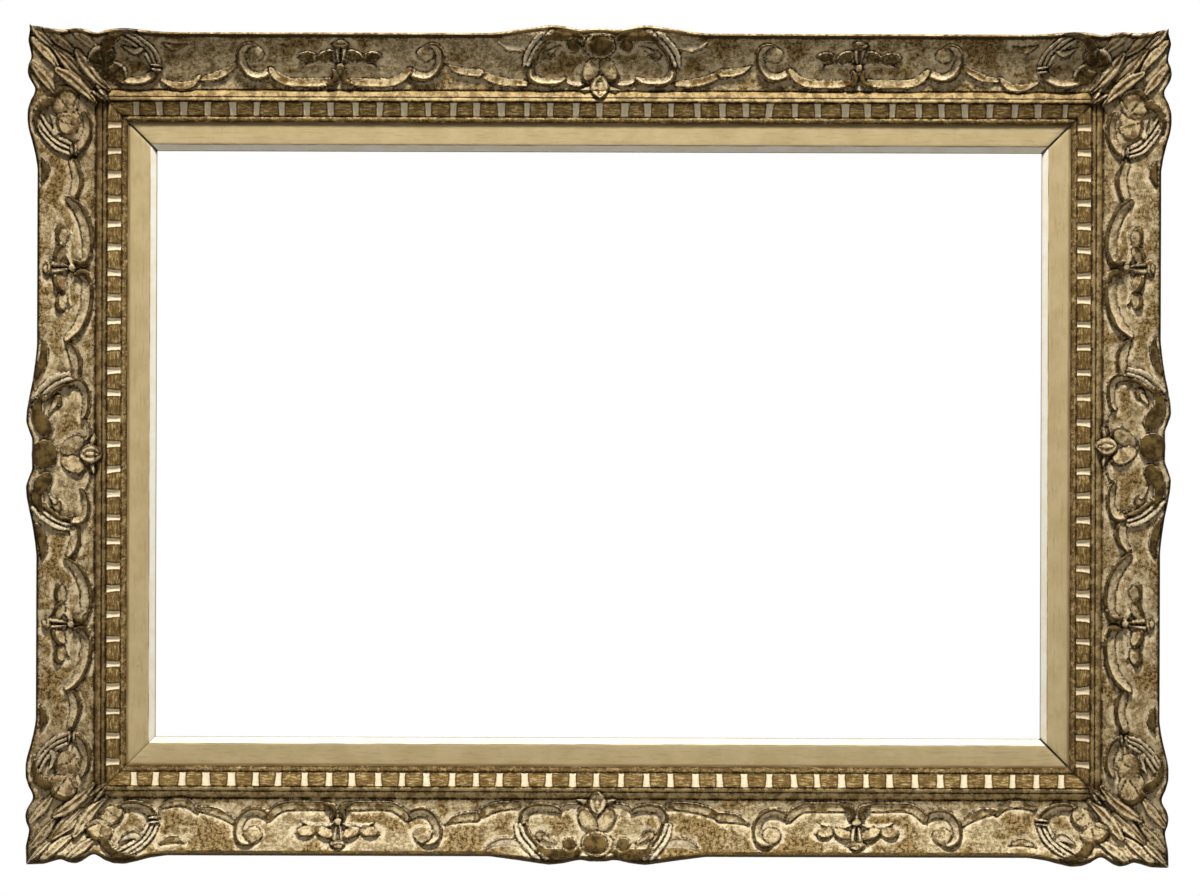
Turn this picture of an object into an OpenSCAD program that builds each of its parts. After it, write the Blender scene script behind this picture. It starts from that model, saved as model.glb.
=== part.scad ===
// Carved and mitred picture frame with a bevelled liner and two hanging rings on the back.
// Axes: X runs along the long rails, Z is up, the front faces -Y, and the rails' back lies at Y = 0.
// Inside a rail the same lengths are called s (along the rail), t (in from the straight outer edge)
// and h (forward from the back).

/* [Opening] */
// width of the clear opening in front of the picture
sight_w = 798; // [600:2:1100]
// height of the clear opening in front of the picture
sight_h = 528; // [440:2:800]

/* [Liner] */
// flat face of the liner that shows
liner_flat = 20; // [12:0.5:40]
// width of the bevel at the liner's inner edge
bevel_w = 6; // [3:0.5:10]
// fall of that bevel towards the picture
bevel_drop = 5; // [2:0.5:6]
// part of the liner that lies under the rail's lip
liner_tuck = 6; // [4:0.5:10]
// thickness of the liner
liner_t = 16; // [14:0.5:20]
// width of the step that takes the picture's edge
rebate_w = 8; // [5:0.5:12]
// depth of the step that takes the picture's edge
rebate_d = 8; // [5:0.5:9]
// how far the liner's back lies in front of the rails' back
liner_recess = 2; // [1.5:0.25:5]
// play between the liner and the rail around it
liner_gap = 0.3; // [0.1:0.05:1]

/* [Carved rail] */
// width of the carved hollow band
band_w = 51; // [40:1:70]
// width of the groove between the hollow and the bead
groove_w = 1; // [0.75:0.25:3]
// depth of that groove
groove_d = 1.5; // [0.5:0.25:3]
// width of the plain bead, which slopes up to the ridge over the frieze
bead_w = 9.5; // [6:0.5:14]
// width of the fluted frieze
frieze_w = 13; // [10:0.5:20]
// width of the inner fillet over the liner
fillet_w = 5.5; // [4.5:0.5:10]
// thickness of the lip of wood over the liner
lip_t = 3; // [2:0.25:5]
// play between the lip and the liner's face
lip_gap = 0.2; // [0.1:0.05:0.6]
// height of the outer crest over the back
crest_h = 40; // [34:0.5:50]
// width of the flat top of the crest
crest_w = 2; // [1:0.5:4]
// fall from the crest to the start of the hollow
crest_drop = 2; // [1:0.5:4]
// height of the hollow's lowest line over the back
hollow_h = 22.5; // [21.5:0.5:28]
// height of the ridge between the bead and the frieze
ridge_h = 27; // [26:0.5:34]
// how far the back edge of the side lies in from the outer edge
side_in = 6; // [2:0.5:12]
// height at which the side reaches the widest swell
side_h = 30; // [20:1:33]
// how far the widest swell of the outline stands out
swell = 10; // [4:0.5:12]
// how high the carving stands over the hollow
relief = 5; // [3:0.25:7]

/* [Fluting] */
// distance from one flute to the next
flute_pitch = 22; // [16:1:40]
// width of a flute
flute_w = 5; // [3:0.5:8]
// depth of a flute
flute_d = 1.6; // [0.8:0.1:2.4]

/* [Mitres and keys] */
// open crack between two mitred rails
mitre_gap = 0.4; // [0.1:0.1:1.5]
// length of the dovetail key across a mitre
key_l = 56; // [30:1:70]
// width of the key at its ends
key_w = 20; // [14:1:26]
// width of the key at its waist
key_waist = 12; // [8:1:20]
// thickness of the key
key_t = 10; // [6:0.5:14]
// play between the key and its slot
key_gap = 0.1; // [0.05:0.05:0.4]

/* [Hangers] */
// width of the hanger's strap
strap_w = 13; // [10:0.5:18]
// thickness of the strap
strap_t = 1.2; // [0.8:0.1:2]
// diameter of the ring's wire
wire_d = 2.8; // [2:0.1:4]
// width of the ring between the centres of its wire
ring_w = 22; // [21:0.5:30]
// straight leg of the ring before its round end
ring_leg = 4; // [3:0.5:8]
// radial running gap between the wire and the strap's eye
eye_gap = 0.08; // [0.05:0.01:0.1]
// gap between the hanging ring and the strap behind it
ring_lift = 0.35; // [0.3:0.05:1]
// diameter of a hanger screw's shank
screw_d = 3.5; // [2.5:0.25:4.5]
// diameter of the screw's head
head_d = 7; // [5:0.25:8]
// height of the screw's head
head_h = 2; // [1.5:0.25:3]
// length of the screw's shank
screw_l = 16; // [12:1:18]
// distance between the two screws of a strap
screw_step = 15; // [13.5:0.5:20]
// play between a fastener and the hole round it
fix_gap = 0.1; // [0.05:0.05:0.3]

/* [Liner fixings] */
// diameter of a brad
brad_d = 1.4; // [1:0.1:1.8]
// length of a brad
brad_l = 18; // [14:1:24]
// part of the brad that is driven into the rail
brad_in = 10; // [6:1:12]
// distance between brads
brad_pitch = 230; // [150:10:400]
// length of the waved steel strip across a liner mitre
wave_l = 20; // [12:1:26]
// height of the strip
wave_h = 9; // [6:1:12]
// thickness of the strip
wave_t = 0.8; // [0.6:0.1:1.2]
// depth of one wave of the strip
wave_d = 1.6; // [1:0.1:2.5]

/* [Hidden] */
// sizes worked out from the ones above
liner_w = bevel_w + liner_flat;
rail_w = band_w + groove_w + bead_w + frieze_w + fillet_w;
half_long = sight_w / 2 + liner_w + rail_w;
half_short = sight_h / 2 + liner_w + rail_w;
liner_front = liner_recess + liner_t;
lip_low = liner_front + lip_gap;
fillet_h = lip_low + lip_t;
rabbet_t = rail_w - liner_tuck - liner_gap;
groove_low = hollow_h - groove_d;
bead_start = band_w + groove_w;
frieze_start = bead_start + bead_w;
frieze_end = frieze_start + frieze_w;
overrun = crest_w;

// shares of the named sizes, chosen by hand
hollow_shares = [0, 0.2, 0.55, 1];
hollow_curve_share = 1.7;
bead_slope_shares = [[0.05, 0.3], [0.3, 0.56], [0.57, 0.68], [0.61, 0.56], [0.65, 0.8], [0.85, 1], [0.97, 0.94]];
step_share = 0.12;
quirk_share = 0.07;
quirk_deep_share = 0.35;
fillet_round_shares = [[0.1, 0.4], [0.4, 1], [1, 0.6]];
root_share = 0.7;
low_relief_share = 0.5;
scoop_shares = [[1, 1], [0, 0.5], [-1, 0.8]];
slant_shares = [[1, 1], [-1, 0.4]];
ridge_shares = [[0, 1.2]];
rim_share = 0.9;
dish_share = 0.4;
dish_sides = 6;
knob_sides = 6;
boss_sides = 12;
knob_top_share = 0.55;
flute_sides = 6;
hole_sides = 12;
round_sides = 64;

// outer edge of the carving: distance along the rail in band widths, and swell as a share of the widest
long_edge_shares = [[0, 0.45], [0.16, 0.4], [0.22, 0.28], [0.5, 0.58], [0.83, 0.7], [1.12, 0.5],
    [1.5, 0.24], [1.87, 0]];
short_edge_shares = [[0, 0.45], [0.24, 0.42], [0.43, 0.85], [0.63, 1], [0.85, 0.8], [1.15, 0.42],
    [1.45, 0.2], [1.83, 0]];
corner_edge_shares = [[2.27, 0], [1.85, 0.4], [1.5, 0.68], [1.24, 0.54], [1.02, 0], [0.85, 0.45],
    [0.64, 0.66], [0.46, 0.36], [0.25, 0.66]];
tip_share = 0.9;

// places of the flank flower along each rail, as shares of its half length
long_flank_share = 0.461;
short_flank_share = 0.449;

// carved lines, in widths of the hollow band: along the rail, then in from its outer edge
cartouche_body_shares = [[0.44, 0.02], [0.62, -0.02], [0.84, 0], [1.02, 0.12], [1.17, 0.3], [1.26, 0.56]];
cartouche_reed_shares = [[1.04, -0.08], [1.23, 0.09], [1.39, 0.32], [1.43, 0.53]];
cartouche_hook_shares = [[1.3, 0.6], [1.29, 0.74], [1.16, 0.82], [0.94, 0.84], [0.69, 0.77]];
cartouche_lobe_shares = [[0.69, 0.76], [0.54, 0.83], [0.38, 0.84], [0.24, 0.8]];
cartouche_curl_shares = [[0.74, 0.19], [0.87, 0.26], [0.98, 0.34], [0.92, 0.42]];
spear_shares = [[1.42, 0.17], [1.56, 0.24], [1.74, 0.24], [1.97, 0.1]];
strand_in_shares = [[1.45, 0.86], [1.7, 0.86], [1.91, 0.8], [2.12, 0.65]];
strand_out_shares = [[2.11, 0.68], [2.31, 0.67], [2.48, 0.62], [2.64, 0.53]];
palm_side_shares = [[0.07, 0.56], [0.2, 0.78], [0.36, 0.98]];
palm_mid_shares = [[0, 0.6], [0, 0.84], [0, 1.06]];
trefoil_shares = [[0.05, 0.45], [0.11, 0.57], [0.18, 0.72]];
arch_shares = [[-0.08, 0.68], [-0.12, 0.83], [-0.36, 0.86], [-0.79, 0.86], [-1.02, 0.8], [-1.18, 0.65]];
lip_shares = [[-0.08, 0.6], [-0.38, 0.46], [-0.7, 0.53]];
stem_shares = [[0.02, 0.56], [-0.03, 0.4], [0, 0.2]];
volute_shares = [[-1.21, 0.64], [-1.43, 0.75], [-1.65, 0.65], [-1.73, 0.42], [-1.66, 0.22],
    [-1.47, 0.21]];
ring_shares = [[1.38, 0.79], [1.56, 0.85], [1.78, 0.85], [1.98, 0.7], [2.02, 0.46], [1.93, 0.22],
    [1.76, 0.06], [1.56, -0.02]];
comma_shares = [[1.45, 0.19], [1.6, 0.3], [1.76, 0.29]];
cup_shares = [[0.96, 0.62], [1.0, 0.44], [1.14, 0.37], [1.34, 0.38]];
ear_shares = [[1.2, 0.96], [1.31, 0.82], [1.24, 0.64], [1.21, 0.5]];
big_leaf_shares = [[1.17, 0.97], [0.93, 0.72], [0.7, 0.26]];
side_leaf_shares = [[1.05, 0.3], [0.83, 0.12], [0.6, -0.1]];
low_leaf_shares = [[0.62, 0.37], [0.36, 0.14], [0.14, -0.09]];
mitre_leaf_shares = [[1.02, 1.02], [0.62, 0.62], [0.3, 0.3]];
tip_leaf_shares = [[0.34, 0.32], [0.12, 0.1], [-0.12, -0.13]];

// knobs: along the rail, in from its outer edge, radius
cartouche_knob_shares = [0.51, 0.19, 0.11];
boss_shares = [0, 0.18, 0.22];
bud_shares = [0, 0.16, 0.12];
volute_eye_shares = [-1.47, 0.34, 0.14];
corner_knob_shares = [1.23, 0.16, 0.13];
corner_eye_shares = [1.35, 0.57, 0.06];

// scooped petals: along the rail, in from its outer edge, length and width
inner_petal_shares = [-0.23, 0.37, 0.32, 0.21];
outer_petal_shares = [-0.55, 0.4, 0.34, 0.2];
// how far each petal is turned, in degrees
inner_petal_turn = 28;
outer_petal_turn = 8;

// widths of a carved line at its start, middle and end, in widths of the hollow band
band_shares = [0.1, 0.17, 0.13];
reed_width_shares = [0.05, 0.1, 0.06];
leaf_width_shares = [0.09, 0.2, 0.04];
spear_width_shares = [0.16, 0.14, 0.03];
strand_width_shares = [0.1, 0.17, 0.08];
arch_width_shares = [0.07, 0.14, 0.17];
volute_width_shares = [0.12, 0.11, 0.07];
wide_leaf_width_shares = [0.12, 0.34, 0.1];
tip_width_shares = [0.22, 0.26, 0.06];
stem_width_shares = [0.16, 0.1, 0.06];

// height of the hollow's floor at a distance t in from the outer edge
function across(t) = min(1, max(0, (t - crest_w) / (band_w - crest_w)));
function ground(t) = hollow_h + (crest_h - crest_drop - hollow_h) * pow(1 - across(t), hollow_curve_share);
// height of the carving over the floor: lower near the crest
function standing(t) = relief * (low_relief_share + (1 - low_relief_share) * across(t));

// direction of a hand-placed line at one of its points
function knot(p, i) = p[max(0, min(len(p) - 1, i))];
function heading(p, i) = let (d = knot(p, i + 1) - knot(p, i - 1)) d / norm(d);
function width_at(w, k) = band_w * (k < 0.5
    ? w[0] + (w[1] - w[0]) * sin(180 * k)
    : w[2] + (w[1] - w[2]) * sin(180 * k));

// a carved line: a section of wall, crown points and wall, swept along the path over the hollow's floor
module carved_line(path, widths, crown) {
    p = [for (q = path) q * band_w];
    last = len(p) - 1;
    n = len(crown) + 2;
    points = [for (i = [0:last])
        let (
            d = heading(p, i),
            side = [-d[1], d[0]] * width_at(widths, i / last) / 2,
            l = p[i] + side,
            r = p[i] - side,
            up = standing(p[i][1]))
        each concat(
            [[l[0], l[1], ground(l[1]) - relief * root_share]],
            [for (c = crown) let (q = p[i] + side * c[0]) [q[0], q[1], ground(q[1]) + up * c[1]]],
            [[r[0], r[1], ground(r[1]) - relief * root_share]])];
    faces = concat(
        [for (j = [1:n - 2]) [0, j, j + 1]],
        [for (i = [0:last - 1]) for (j = [0:n - 1])
            let (a = i * n + j, b = i * n + (j + 1) % n)
            each [[a, a + n, b + n], [a, b + n, b]]],
        [for (j = [1:n - 2]) [last * n, last * n + j + 1, last * n + j]]);
    polyhedron(points, faces);
}

// a scooped strand with two sharp rims
module scroll(path, widths) {
    carved_line(path, widths, scoop_shares);
}

// a slanting strand with one sharp rim
module strand(path, widths) {
    carved_line(path, widths, slant_shares);
}

// a leaf with a raised midrib
module leaf(path, widths) {
    carved_line(path, widths, ridge_shares);
}

// a scooped petal: an oval dish with a raised rim
module petal(shares, turn) {
    mid = [shares[0], shares[1]] * band_w;
    rim = [for (i = [0:dish_sides - 1])
        let (
            a = 360 * i / dish_sides,
            x = cos(a) * shares[2] * band_w / 2,
            y = sin(a) * shares[3] * band_w / 2)
        [mid[0] + x * cos(turn) - y * sin(turn), mid[1] + x * sin(turn) + y * cos(turn)]];
    up = standing(mid[1]);
    points = concat(
        [for (q = rim) [q[0], q[1], ground(q[1]) - relief * root_share]],
        [for (q = rim) [q[0], q[1], ground(q[1]) + up * rim_share]],
        [[mid[0], mid[1], ground(mid[1]) - relief * root_share],
            [mid[0], mid[1], ground(mid[1]) + up * dish_share]]);
    low = 2 * dish_sides;
    faces = [for (i = [0:dish_sides - 1])
        let (n = (i + 1) % dish_sides)
        each [
            [i, i + dish_sides, n + dish_sides], [i, n + dish_sides, n],
            [low, i, n], [low + 1, n + dish_sides, i + dish_sides]]];
    polyhedron(points, faces);
}

// a rounded knob that stands on the hollow's floor
module knob(shares, sides) {
    mid = [shares[0], shares[1]] * band_w;
    radius = shares[2] * band_w;
    base = ground(mid[1]) - relief * root_share;
    top = ground(mid[1]) + standing(mid[1]);
    translate([mid[0], mid[1], base])
        hull() {
            cylinder(h = (top - base) * knob_top_share, r = radius, $fn = sides);
            cylinder(h = top - base, r = radius * knob_top_share, $fn = sides);
        }
}

// half of the centre ornament: palm, and a double scroll with reeds behind it
module centre_half() {
    scroll(cartouche_body_shares, band_shares);
    strand(cartouche_reed_shares, reed_width_shares);
    strand(cartouche_hook_shares, strand_width_shares);
    strand(cartouche_lobe_shares, strand_width_shares);
    strand(cartouche_curl_shares, reed_width_shares);
    leaf(spear_shares, spear_width_shares);
    leaf(trefoil_shares, leaf_width_shares);
    leaf(palm_side_shares, leaf_width_shares);
    strand(strand_in_shares, strand_width_shares);
    knob(cartouche_knob_shares, knob_sides);
}

// half of a flank flower: arched strand, lip and petals
module flank_half() {
    strand(arch_shares, arch_width_shares);
    strand(lip_shares, reed_width_shares);
    petal(inner_petal_shares, inner_petal_turn);
    petal(outer_petal_shares, outer_petal_turn);
}

// a volute ring with its eye, beyond the end of a flank arch
module volute() {
    strand(volute_shares, volute_width_shares);
    knob(volute_eye_shares, knob_sides);
}

// the corner end of a rail, measured from the corner: ring, comma and the leaves that meet at the mitre
module corner_end() {
    strand(ring_shares, band_shares);
    strand(comma_shares, strand_width_shares);
    strand(cup_shares, strand_width_shares);
    strand(ear_shares, strand_width_shares);
    knob(corner_knob_shares, knob_sides);
    knob(corner_eye_shares, knob_sides);
    leaf(big_leaf_shares, leaf_width_shares);
    leaf(side_leaf_shares, leaf_width_shares);
    leaf(low_leaf_shares, leaf_width_shares);
    leaf(mitre_leaf_shares, wide_leaf_width_shares);
    leaf(tip_leaf_shares, tip_width_shares);
}

// all carving on one rail, mirrored about its middle
module carving(half, flank, long) {
    for (m = [0, 1]) mirror([m, 0, 0]) {
        centre_half();
        strand(strand_out_shares, strand_width_shares);
        translate([half * flank, 0, 0]) {
            for (n = [0, 1]) mirror([n, 0, 0]) {
                flank_half();
                if (long) volute();
            }
            leaf(stem_shares, stem_width_shares);
            knob(bud_shares, knob_sides);
        }
        translate([half, 0, 0]) mirror([1, 0, 0]) corner_end();
    }
    leaf(palm_mid_shares, leaf_width_shares);
    knob(boss_shares, boss_sides);
}

// cross-section of a rail in t and h
function rail_section() = concat(
    [[side_in, 0], [-swell, side_h], [-swell, crest_h - crest_drop], [0, crest_h], [crest_w, crest_h]],
    [for (k = hollow_shares) let (t = crest_w + k * (band_w - crest_w)) [t, ground(t)]],
    [[band_w, groove_low], [bead_start, groove_low]],
    [for (k = bead_slope_shares) [bead_start + k[0] * bead_w, groove_low + k[1] * (ridge_h - groove_low)]],
    [[frieze_start, frieze_height(step_share) - groove_d * quirk_deep_share],
        [frieze_start + frieze_w * quirk_share, frieze_height(step_share) - groove_d * quirk_deep_share],
        [frieze_start + frieze_w * step_share, frieze_height(step_share)],
        [frieze_end - frieze_w * quirk_share, frieze_height(1 - quirk_share)],
        [frieze_end - frieze_w * quirk_share, fillet_h - lip_t * quirk_deep_share]],
    [for (k = fillet_round_shares) [frieze_end + k[0] * fillet_w, lip_low + k[1] * lip_t]],
    [[rail_w, lip_low], [rabbet_t, lip_low], [rabbet_t, 0]]);

// height of the fluted frieze at a share of its width
function frieze_height(k) = fillet_h + (ridge_h - groove_d - fillet_h) * (1 - k);

// outline of a rail seen from the front, with its swells and its mitred ends
module rail_outline(half, edge_shares) {
    side = concat(
        [for (q = edge_shares) [q[0] * band_w, -q[1] * swell]],
        [for (q = corner_edge_shares) [half - q[0] * band_w, -q[1] * swell]]);
    tip = tip_share * swell;
    cut = mitre_gap / sqrt(2);
    half_outline = concat([[0, rail_w + overrun]], side,
        [[half + tip - cut, -tip], [half - rail_w - overrun - cut, rail_w + overrun]]);
    for (m = [0, 1]) mirror([m, 0]) polygon(half_outline);
}

// one rail lying face up, from its back at h = 0
module rail(half, flank, edge_shares, long) {
    difference() {
        intersection() {
            union() {
                rotate([90, 0, 90])
                    linear_extrude(2 * (half + swell), center = true)
                        polygon(rail_section());
                carving(half, flank, long);
            }
            translate([0, 0, -overrun])
                linear_extrude(crest_h + relief + 2 * overrun)
                    rail_outline(half, edge_shares);
        }
        flutes(half);
        key_slots(half);
        brad_holes(half);
    }
}

// the flutes: round gouge cuts across the frieze, at an even pitch from the middle
module flutes(half) {
    count = floor((half - frieze_end - flute_w) / flute_pitch);
    start = frieze_start + frieze_w * step_share;
    run = frieze_end - frieze_w * quirk_share - start;
    fall = frieze_height(step_share) - frieze_height(1 - quirk_share);
    radius = (flute_w * flute_w / 4 + flute_d * flute_d) / (2 * flute_d);
    for (i = [-count:count])
        translate([i * flute_pitch, start, frieze_height(step_share) + radius - flute_d])
            rotate([-90 - atan(fall / run), 0, 0])
                cylinder(h = norm([run, fall]), r = radius / cos(180 / flute_sides), $fn = flute_sides);
}

// a dovetail key, seen from the back, lying across a mitre
module key_shape(play) {
    polygon([for (m = [[-1, -1], [0, -1], [1, -1], [1, 1], [0, 1], [-1, 1]])
        [m[0] * (key_l / 2 + play), m[1] * ((m[0] == 0 ? key_waist : key_w) / 2 + play)]]);
}

module key_slots(half) {
    for (m = [-1, 1])
        translate([m * (half - rail_w / 2), rail_w / 2, -overrun])
            rotate([0, 0, m * 45])
                linear_extrude(key_t + key_gap + overrun)
                    key_shape(key_gap);
}

// places of the brads along a rail, evenly about its middle
function brad_places(half) =
    let (count = floor((half - rail_w) / brad_pitch))
    [for (i = [-count:count]) i * brad_pitch];

module brad(length, width, sides) {
    rotate([-90, 0, 0]) cylinder(h = length, d = width, $fn = sides);
}

module brad_holes(half) {
    for (s = brad_places(half))
        translate([s, rabbet_t - brad_in, liner_recess - brad_d / 2 - fix_gap])
            brad(brad_in + overrun, brad_d + 2 * fix_gap, hole_sides);
}

// turns a rail, liner or fixing that lies face up to its place on one side of the frame
module on_side(turn, half) {
    rotate([0, turn, 0])
        translate([0, 0, -half])
            rotate([90, 0, 0])
                children();
}

module rail_bottom() {
    color([0.45, 0.36, 0.2])
        on_side(0, half_short)
            rail(half_long, long_flank_share, long_edge_shares, true);
}

module rail_top() {
    color([0.45, 0.36, 0.2])
        on_side(180, half_short)
            rail(half_long, long_flank_share, long_edge_shares, true);
}

module rail_right() {
    color([0.5, 0.4, 0.24])
        difference() {
            on_side(-90, half_long)
                rail(half_short, short_flank_share, short_edge_shares, false);
            screw_holes(1);
        }
}

module rail_left() {
    color([0.5, 0.4, 0.24])
        difference() {
            on_side(90, half_long)
                rail(half_short, short_flank_share, short_edge_shares, false);
            screw_holes(-1);
        }
}

// the liner: a flat moulding with a bevel at the sight edge and a step for the picture behind it
module liner(half) {
    reach = liner_w + liner_tuck;
    section = [[0, liner_recess + rebate_d], [0, liner_front - bevel_drop], [bevel_w, liner_front],
        [reach, liner_front], [reach, liner_recess], [rebate_w, liner_recess],
        [rebate_w, liner_recess + rebate_d]];
    cut = mitre_gap / sqrt(2);
    difference() {
        intersection() {
            rotate([90, 0, 90])
                linear_extrude(2 * half, center = true)
                    polygon([for (q = section) [rail_w + liner_w - q[0], q[1]]]);
            linear_extrude(crest_h)
                polygon([for (m = [[-1, 0], [1, 0], [1, 1], [-1, 1]])
                    [m[0] * (half - cut - m[1] * (rail_w + liner_w)), m[1] * (rail_w + liner_w)]]);
        }
        for (m = [-1, 1])
            translate([m * (half - wave_place), wave_place, 0])
                rotate([0, 0, m * 45])
                    linear_extrude(liner_recess + wave_h + fix_gap)
                        wave_shape(wave_l + 2 * fix_gap, wave_t + 2 * fix_gap);
    }
}

module liner_bottom() {
    color([0.78, 0.7, 0.52]) on_side(0, half_short) liner(half_long);
}

module liner_top() {
    color([0.78, 0.7, 0.52]) on_side(180, half_short) liner(half_long);
}

module liner_right() {
    color([0.8, 0.72, 0.55]) on_side(-90, half_long) liner(half_short);
}

module liner_left() {
    color([0.8, 0.72, 0.55]) on_side(90, half_long) liner(half_short);
}

// one dovetail key: x and z say which corner it holds
module corner_key(x, z) {
    color([0.72, 0.55, 0.34])
        translate([x * (half_long - rail_w / 2), 0, z * (half_short - rail_w / 2)])
            rotate([90, x * z * 45, 0])
                linear_extrude(key_t)
                    key_shape(0);
}

module key_top_left() {
    corner_key(-1, 1);
}

module key_top_right() {
    corner_key(1, 1);
}

module key_bottom_left() {
    corner_key(-1, -1);
}

module key_bottom_right() {
    corner_key(1, -1);
}

// a waved steel strip, seen from the back
wave_place = rail_w + (liner_w + rebate_w) / 2;
wave_turns = 5;

module wave_shape(length, thick) {
    polygon(concat(
        [for (i = [0:wave_turns]) [length * (i / wave_turns - 0.5), (wave_d * (i % 2) - wave_d / 2 - thick / 2)]],
        [for (i = [wave_turns:-1:0]) [length * (i / wave_turns - 0.5), (wave_d * (i % 2) - wave_d / 2 + thick / 2)]]));
}

module liner_strips() {
    color([0.55, 0.56, 0.58])
        for (x = [-1, 1]) for (z = [-1, 1])
            translate([x * (half_long - wave_place), -liner_recess, z * (half_short - wave_place)])
                rotate([90, x * z * 45, 0])
                    linear_extrude(wave_h)
                        wave_shape(wave_l, wave_t);
}

// brads driven into the rails' rabbet, flat against the back of the liner
module liner_brads() {
    color([0.5, 0.5, 0.52])
        for (side = [[0, half_short, half_long], [180, half_short, half_long],
                [90, half_long, half_short], [-90, half_long, half_short]])
            on_side(side[0], side[1])
                for (s = brad_places(side[2]))
                    translate([s, rabbet_t - brad_in, liner_recess - brad_d / 2 - fix_gap])
                        brad(brad_l, brad_d, round_sides);
}

// the hangers: a strap on the back of each side rail, at a third of the frame's height from the top
eye_r = wire_d / 2 + eye_gap;
eye_y = strap_t + ring_lift + wire_d / 2;
hanger_x = half_long - rail_w / 2;
hanger_z = half_short / 3;
first_screw = eye_r + strap_t + head_d / 2 + ring_lift;
strap_end = first_screw + screw_step + strap_w / 2;

module screw_holes(x) {
    for (n = [0, 1])
        translate([x * hanger_x, overrun, hanger_z - first_screw - n * screw_step])
            rotate([90, 0, 0])
                cylinder(h = screw_l + overrun, d = screw_d + 4 * fix_gap, $fn = hole_sides);
}

module hanger_strap(x) {
    color([0.72, 0.6, 0.32])
        translate([x * hanger_x, 0, hanger_z])
            difference() {
                union() {
                    translate([0, strap_t, 0])
                        rotate([90, 0, 0])
                            linear_extrude(strap_t) {
                                translate([-strap_w / 2, strap_w / 2 - strap_end])
                                    square([strap_w, strap_end - strap_w / 2]);
                                translate([0, strap_w / 2 - strap_end])
                                    circle(d = strap_w, $fn = round_sides);
                            }
                    translate([0, eye_y, 0])
                        rotate([0, 90, 0])
                            cylinder(h = strap_w, r = eye_r + strap_t, center = true, $fn = round_sides);
                }
                translate([0, eye_y, 0])
                    rotate([0, 90, 0])
                        cylinder(h = strap_w + overrun, r = eye_r, center = true, $fn = round_sides);
                translate([0, -eye_y, 0])
                    cube([strap_w + overrun, 2 * eye_y, 2 * (eye_r + strap_t + overrun)], center = true);
                for (n = [0, 1])
                    translate([0, strap_t + overrun, -first_screw - n * screw_step])
                        rotate([90, 0, 0])
                            cylinder(h = strap_t + 2 * overrun, d = screw_d + 2 * fix_gap, $fn = round_sides);
            }
}

module hanger_strap_left() {
    hanger_strap(-1);
}

module hanger_strap_right() {
    hanger_strap(1);
}

// the ring: a straight bar through the eye, two legs and a round end, all of one wire
module hanger_ring(x) {
    color([0.76, 0.64, 0.36])
        translate([x * hanger_x, eye_y, hanger_z]) {
            rotate([0, 90, 0])
                cylinder(h = ring_w, d = wire_d, center = true, $fn = round_sides);
            for (m = [-1, 1])
                translate([m * ring_w / 2, 0, -ring_leg]) {
                    cylinder(h = ring_leg, d = wire_d, $fn = round_sides);
                    translate([0, 0, ring_leg])
                        sphere(d = wire_d, $fn = round_sides);
                }
            translate([0, 0, -ring_leg])
                rotate([90, 0, 0])
                    rotate([0, 0, 180])
                        rotate_extrude(angle = 180, $fn = round_sides)
                            translate([ring_w / 2, 0])
                                circle(d = wire_d, $fn = round_sides);
        }
}

module hanger_ring_left() {
    hanger_ring(-1);
}

module hanger_ring_right() {
    hanger_ring(1);
}

// round-headed screws that hold a strap to its rail
module hanger_screws(x) {
    color([0.62, 0.62, 0.6])
        for (n = [0, 1])
            translate([x * hanger_x, 0, hanger_z - first_screw - n * screw_step])
                rotate([90, 0, 0]) {
                    translate([0, 0, -strap_t])
                        cylinder(h = strap_t + screw_l, d = screw_d, $fn = round_sides);
                    translate([0, 0, -strap_t - head_h])
                        cylinder(h = head_h, d1 = head_d * knob_top_share, d2 = head_d, $fn = round_sides);
                }
}

module hanger_screws_left() {
    hanger_screws(-1);
}

module hanger_screws_right() {
    hanger_screws(1);
}

rail_top();
rail_bottom();
rail_left();
rail_right();
liner_top();
liner_bottom();
liner_left();
liner_right();
key_top_left();
key_top_right();
key_bottom_left();
key_bottom_right();
liner_strips();
liner_brads();
hanger_strap_left();
hanger_strap_right();
hanger_ring_left();
hanger_ring_right();
hanger_screws_left();
hanger_screws_right();
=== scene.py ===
import bpy
import math
import numpy as np
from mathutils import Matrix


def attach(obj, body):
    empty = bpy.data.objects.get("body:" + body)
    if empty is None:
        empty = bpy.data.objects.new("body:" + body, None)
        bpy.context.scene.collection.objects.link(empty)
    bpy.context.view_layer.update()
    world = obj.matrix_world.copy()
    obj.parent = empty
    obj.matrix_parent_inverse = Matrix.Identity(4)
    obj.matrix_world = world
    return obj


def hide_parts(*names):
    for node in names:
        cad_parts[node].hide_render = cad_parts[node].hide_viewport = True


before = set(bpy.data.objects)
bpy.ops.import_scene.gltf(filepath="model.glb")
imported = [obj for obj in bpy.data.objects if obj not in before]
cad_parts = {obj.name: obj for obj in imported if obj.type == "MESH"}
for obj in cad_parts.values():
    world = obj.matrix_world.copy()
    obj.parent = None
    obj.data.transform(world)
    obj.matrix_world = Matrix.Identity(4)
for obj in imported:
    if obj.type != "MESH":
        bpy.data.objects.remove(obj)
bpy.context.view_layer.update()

# The studio
# A plain white room: the frame hangs free with a pale floor well below it. One soft lamp stands high
# in front, a weak wide one fills from low in front, and a third lights the back. Sizes are in metres.
floor_radius, floor_level = 1.7, -1.9
camera_distance, face_depth, seen_width = 6.0, 0.03, 1.0796


def seen_white(tree, lit, white, surface):
    """Shows the camera plain white, while the light on the frame comes from the lit shader."""
    ray = tree.nodes.new("ShaderNodeLightPath")
    mix = tree.nodes.new("ShaderNodeMixShader")
    tree.links.new(ray.outputs["Is Camera Ray"], mix.inputs["Fac"])
    tree.links.new(lit, mix.inputs[1])
    tree.links.new(white, mix.inputs[2])
    tree.links.new(mix.outputs["Shader"], surface)


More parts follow.
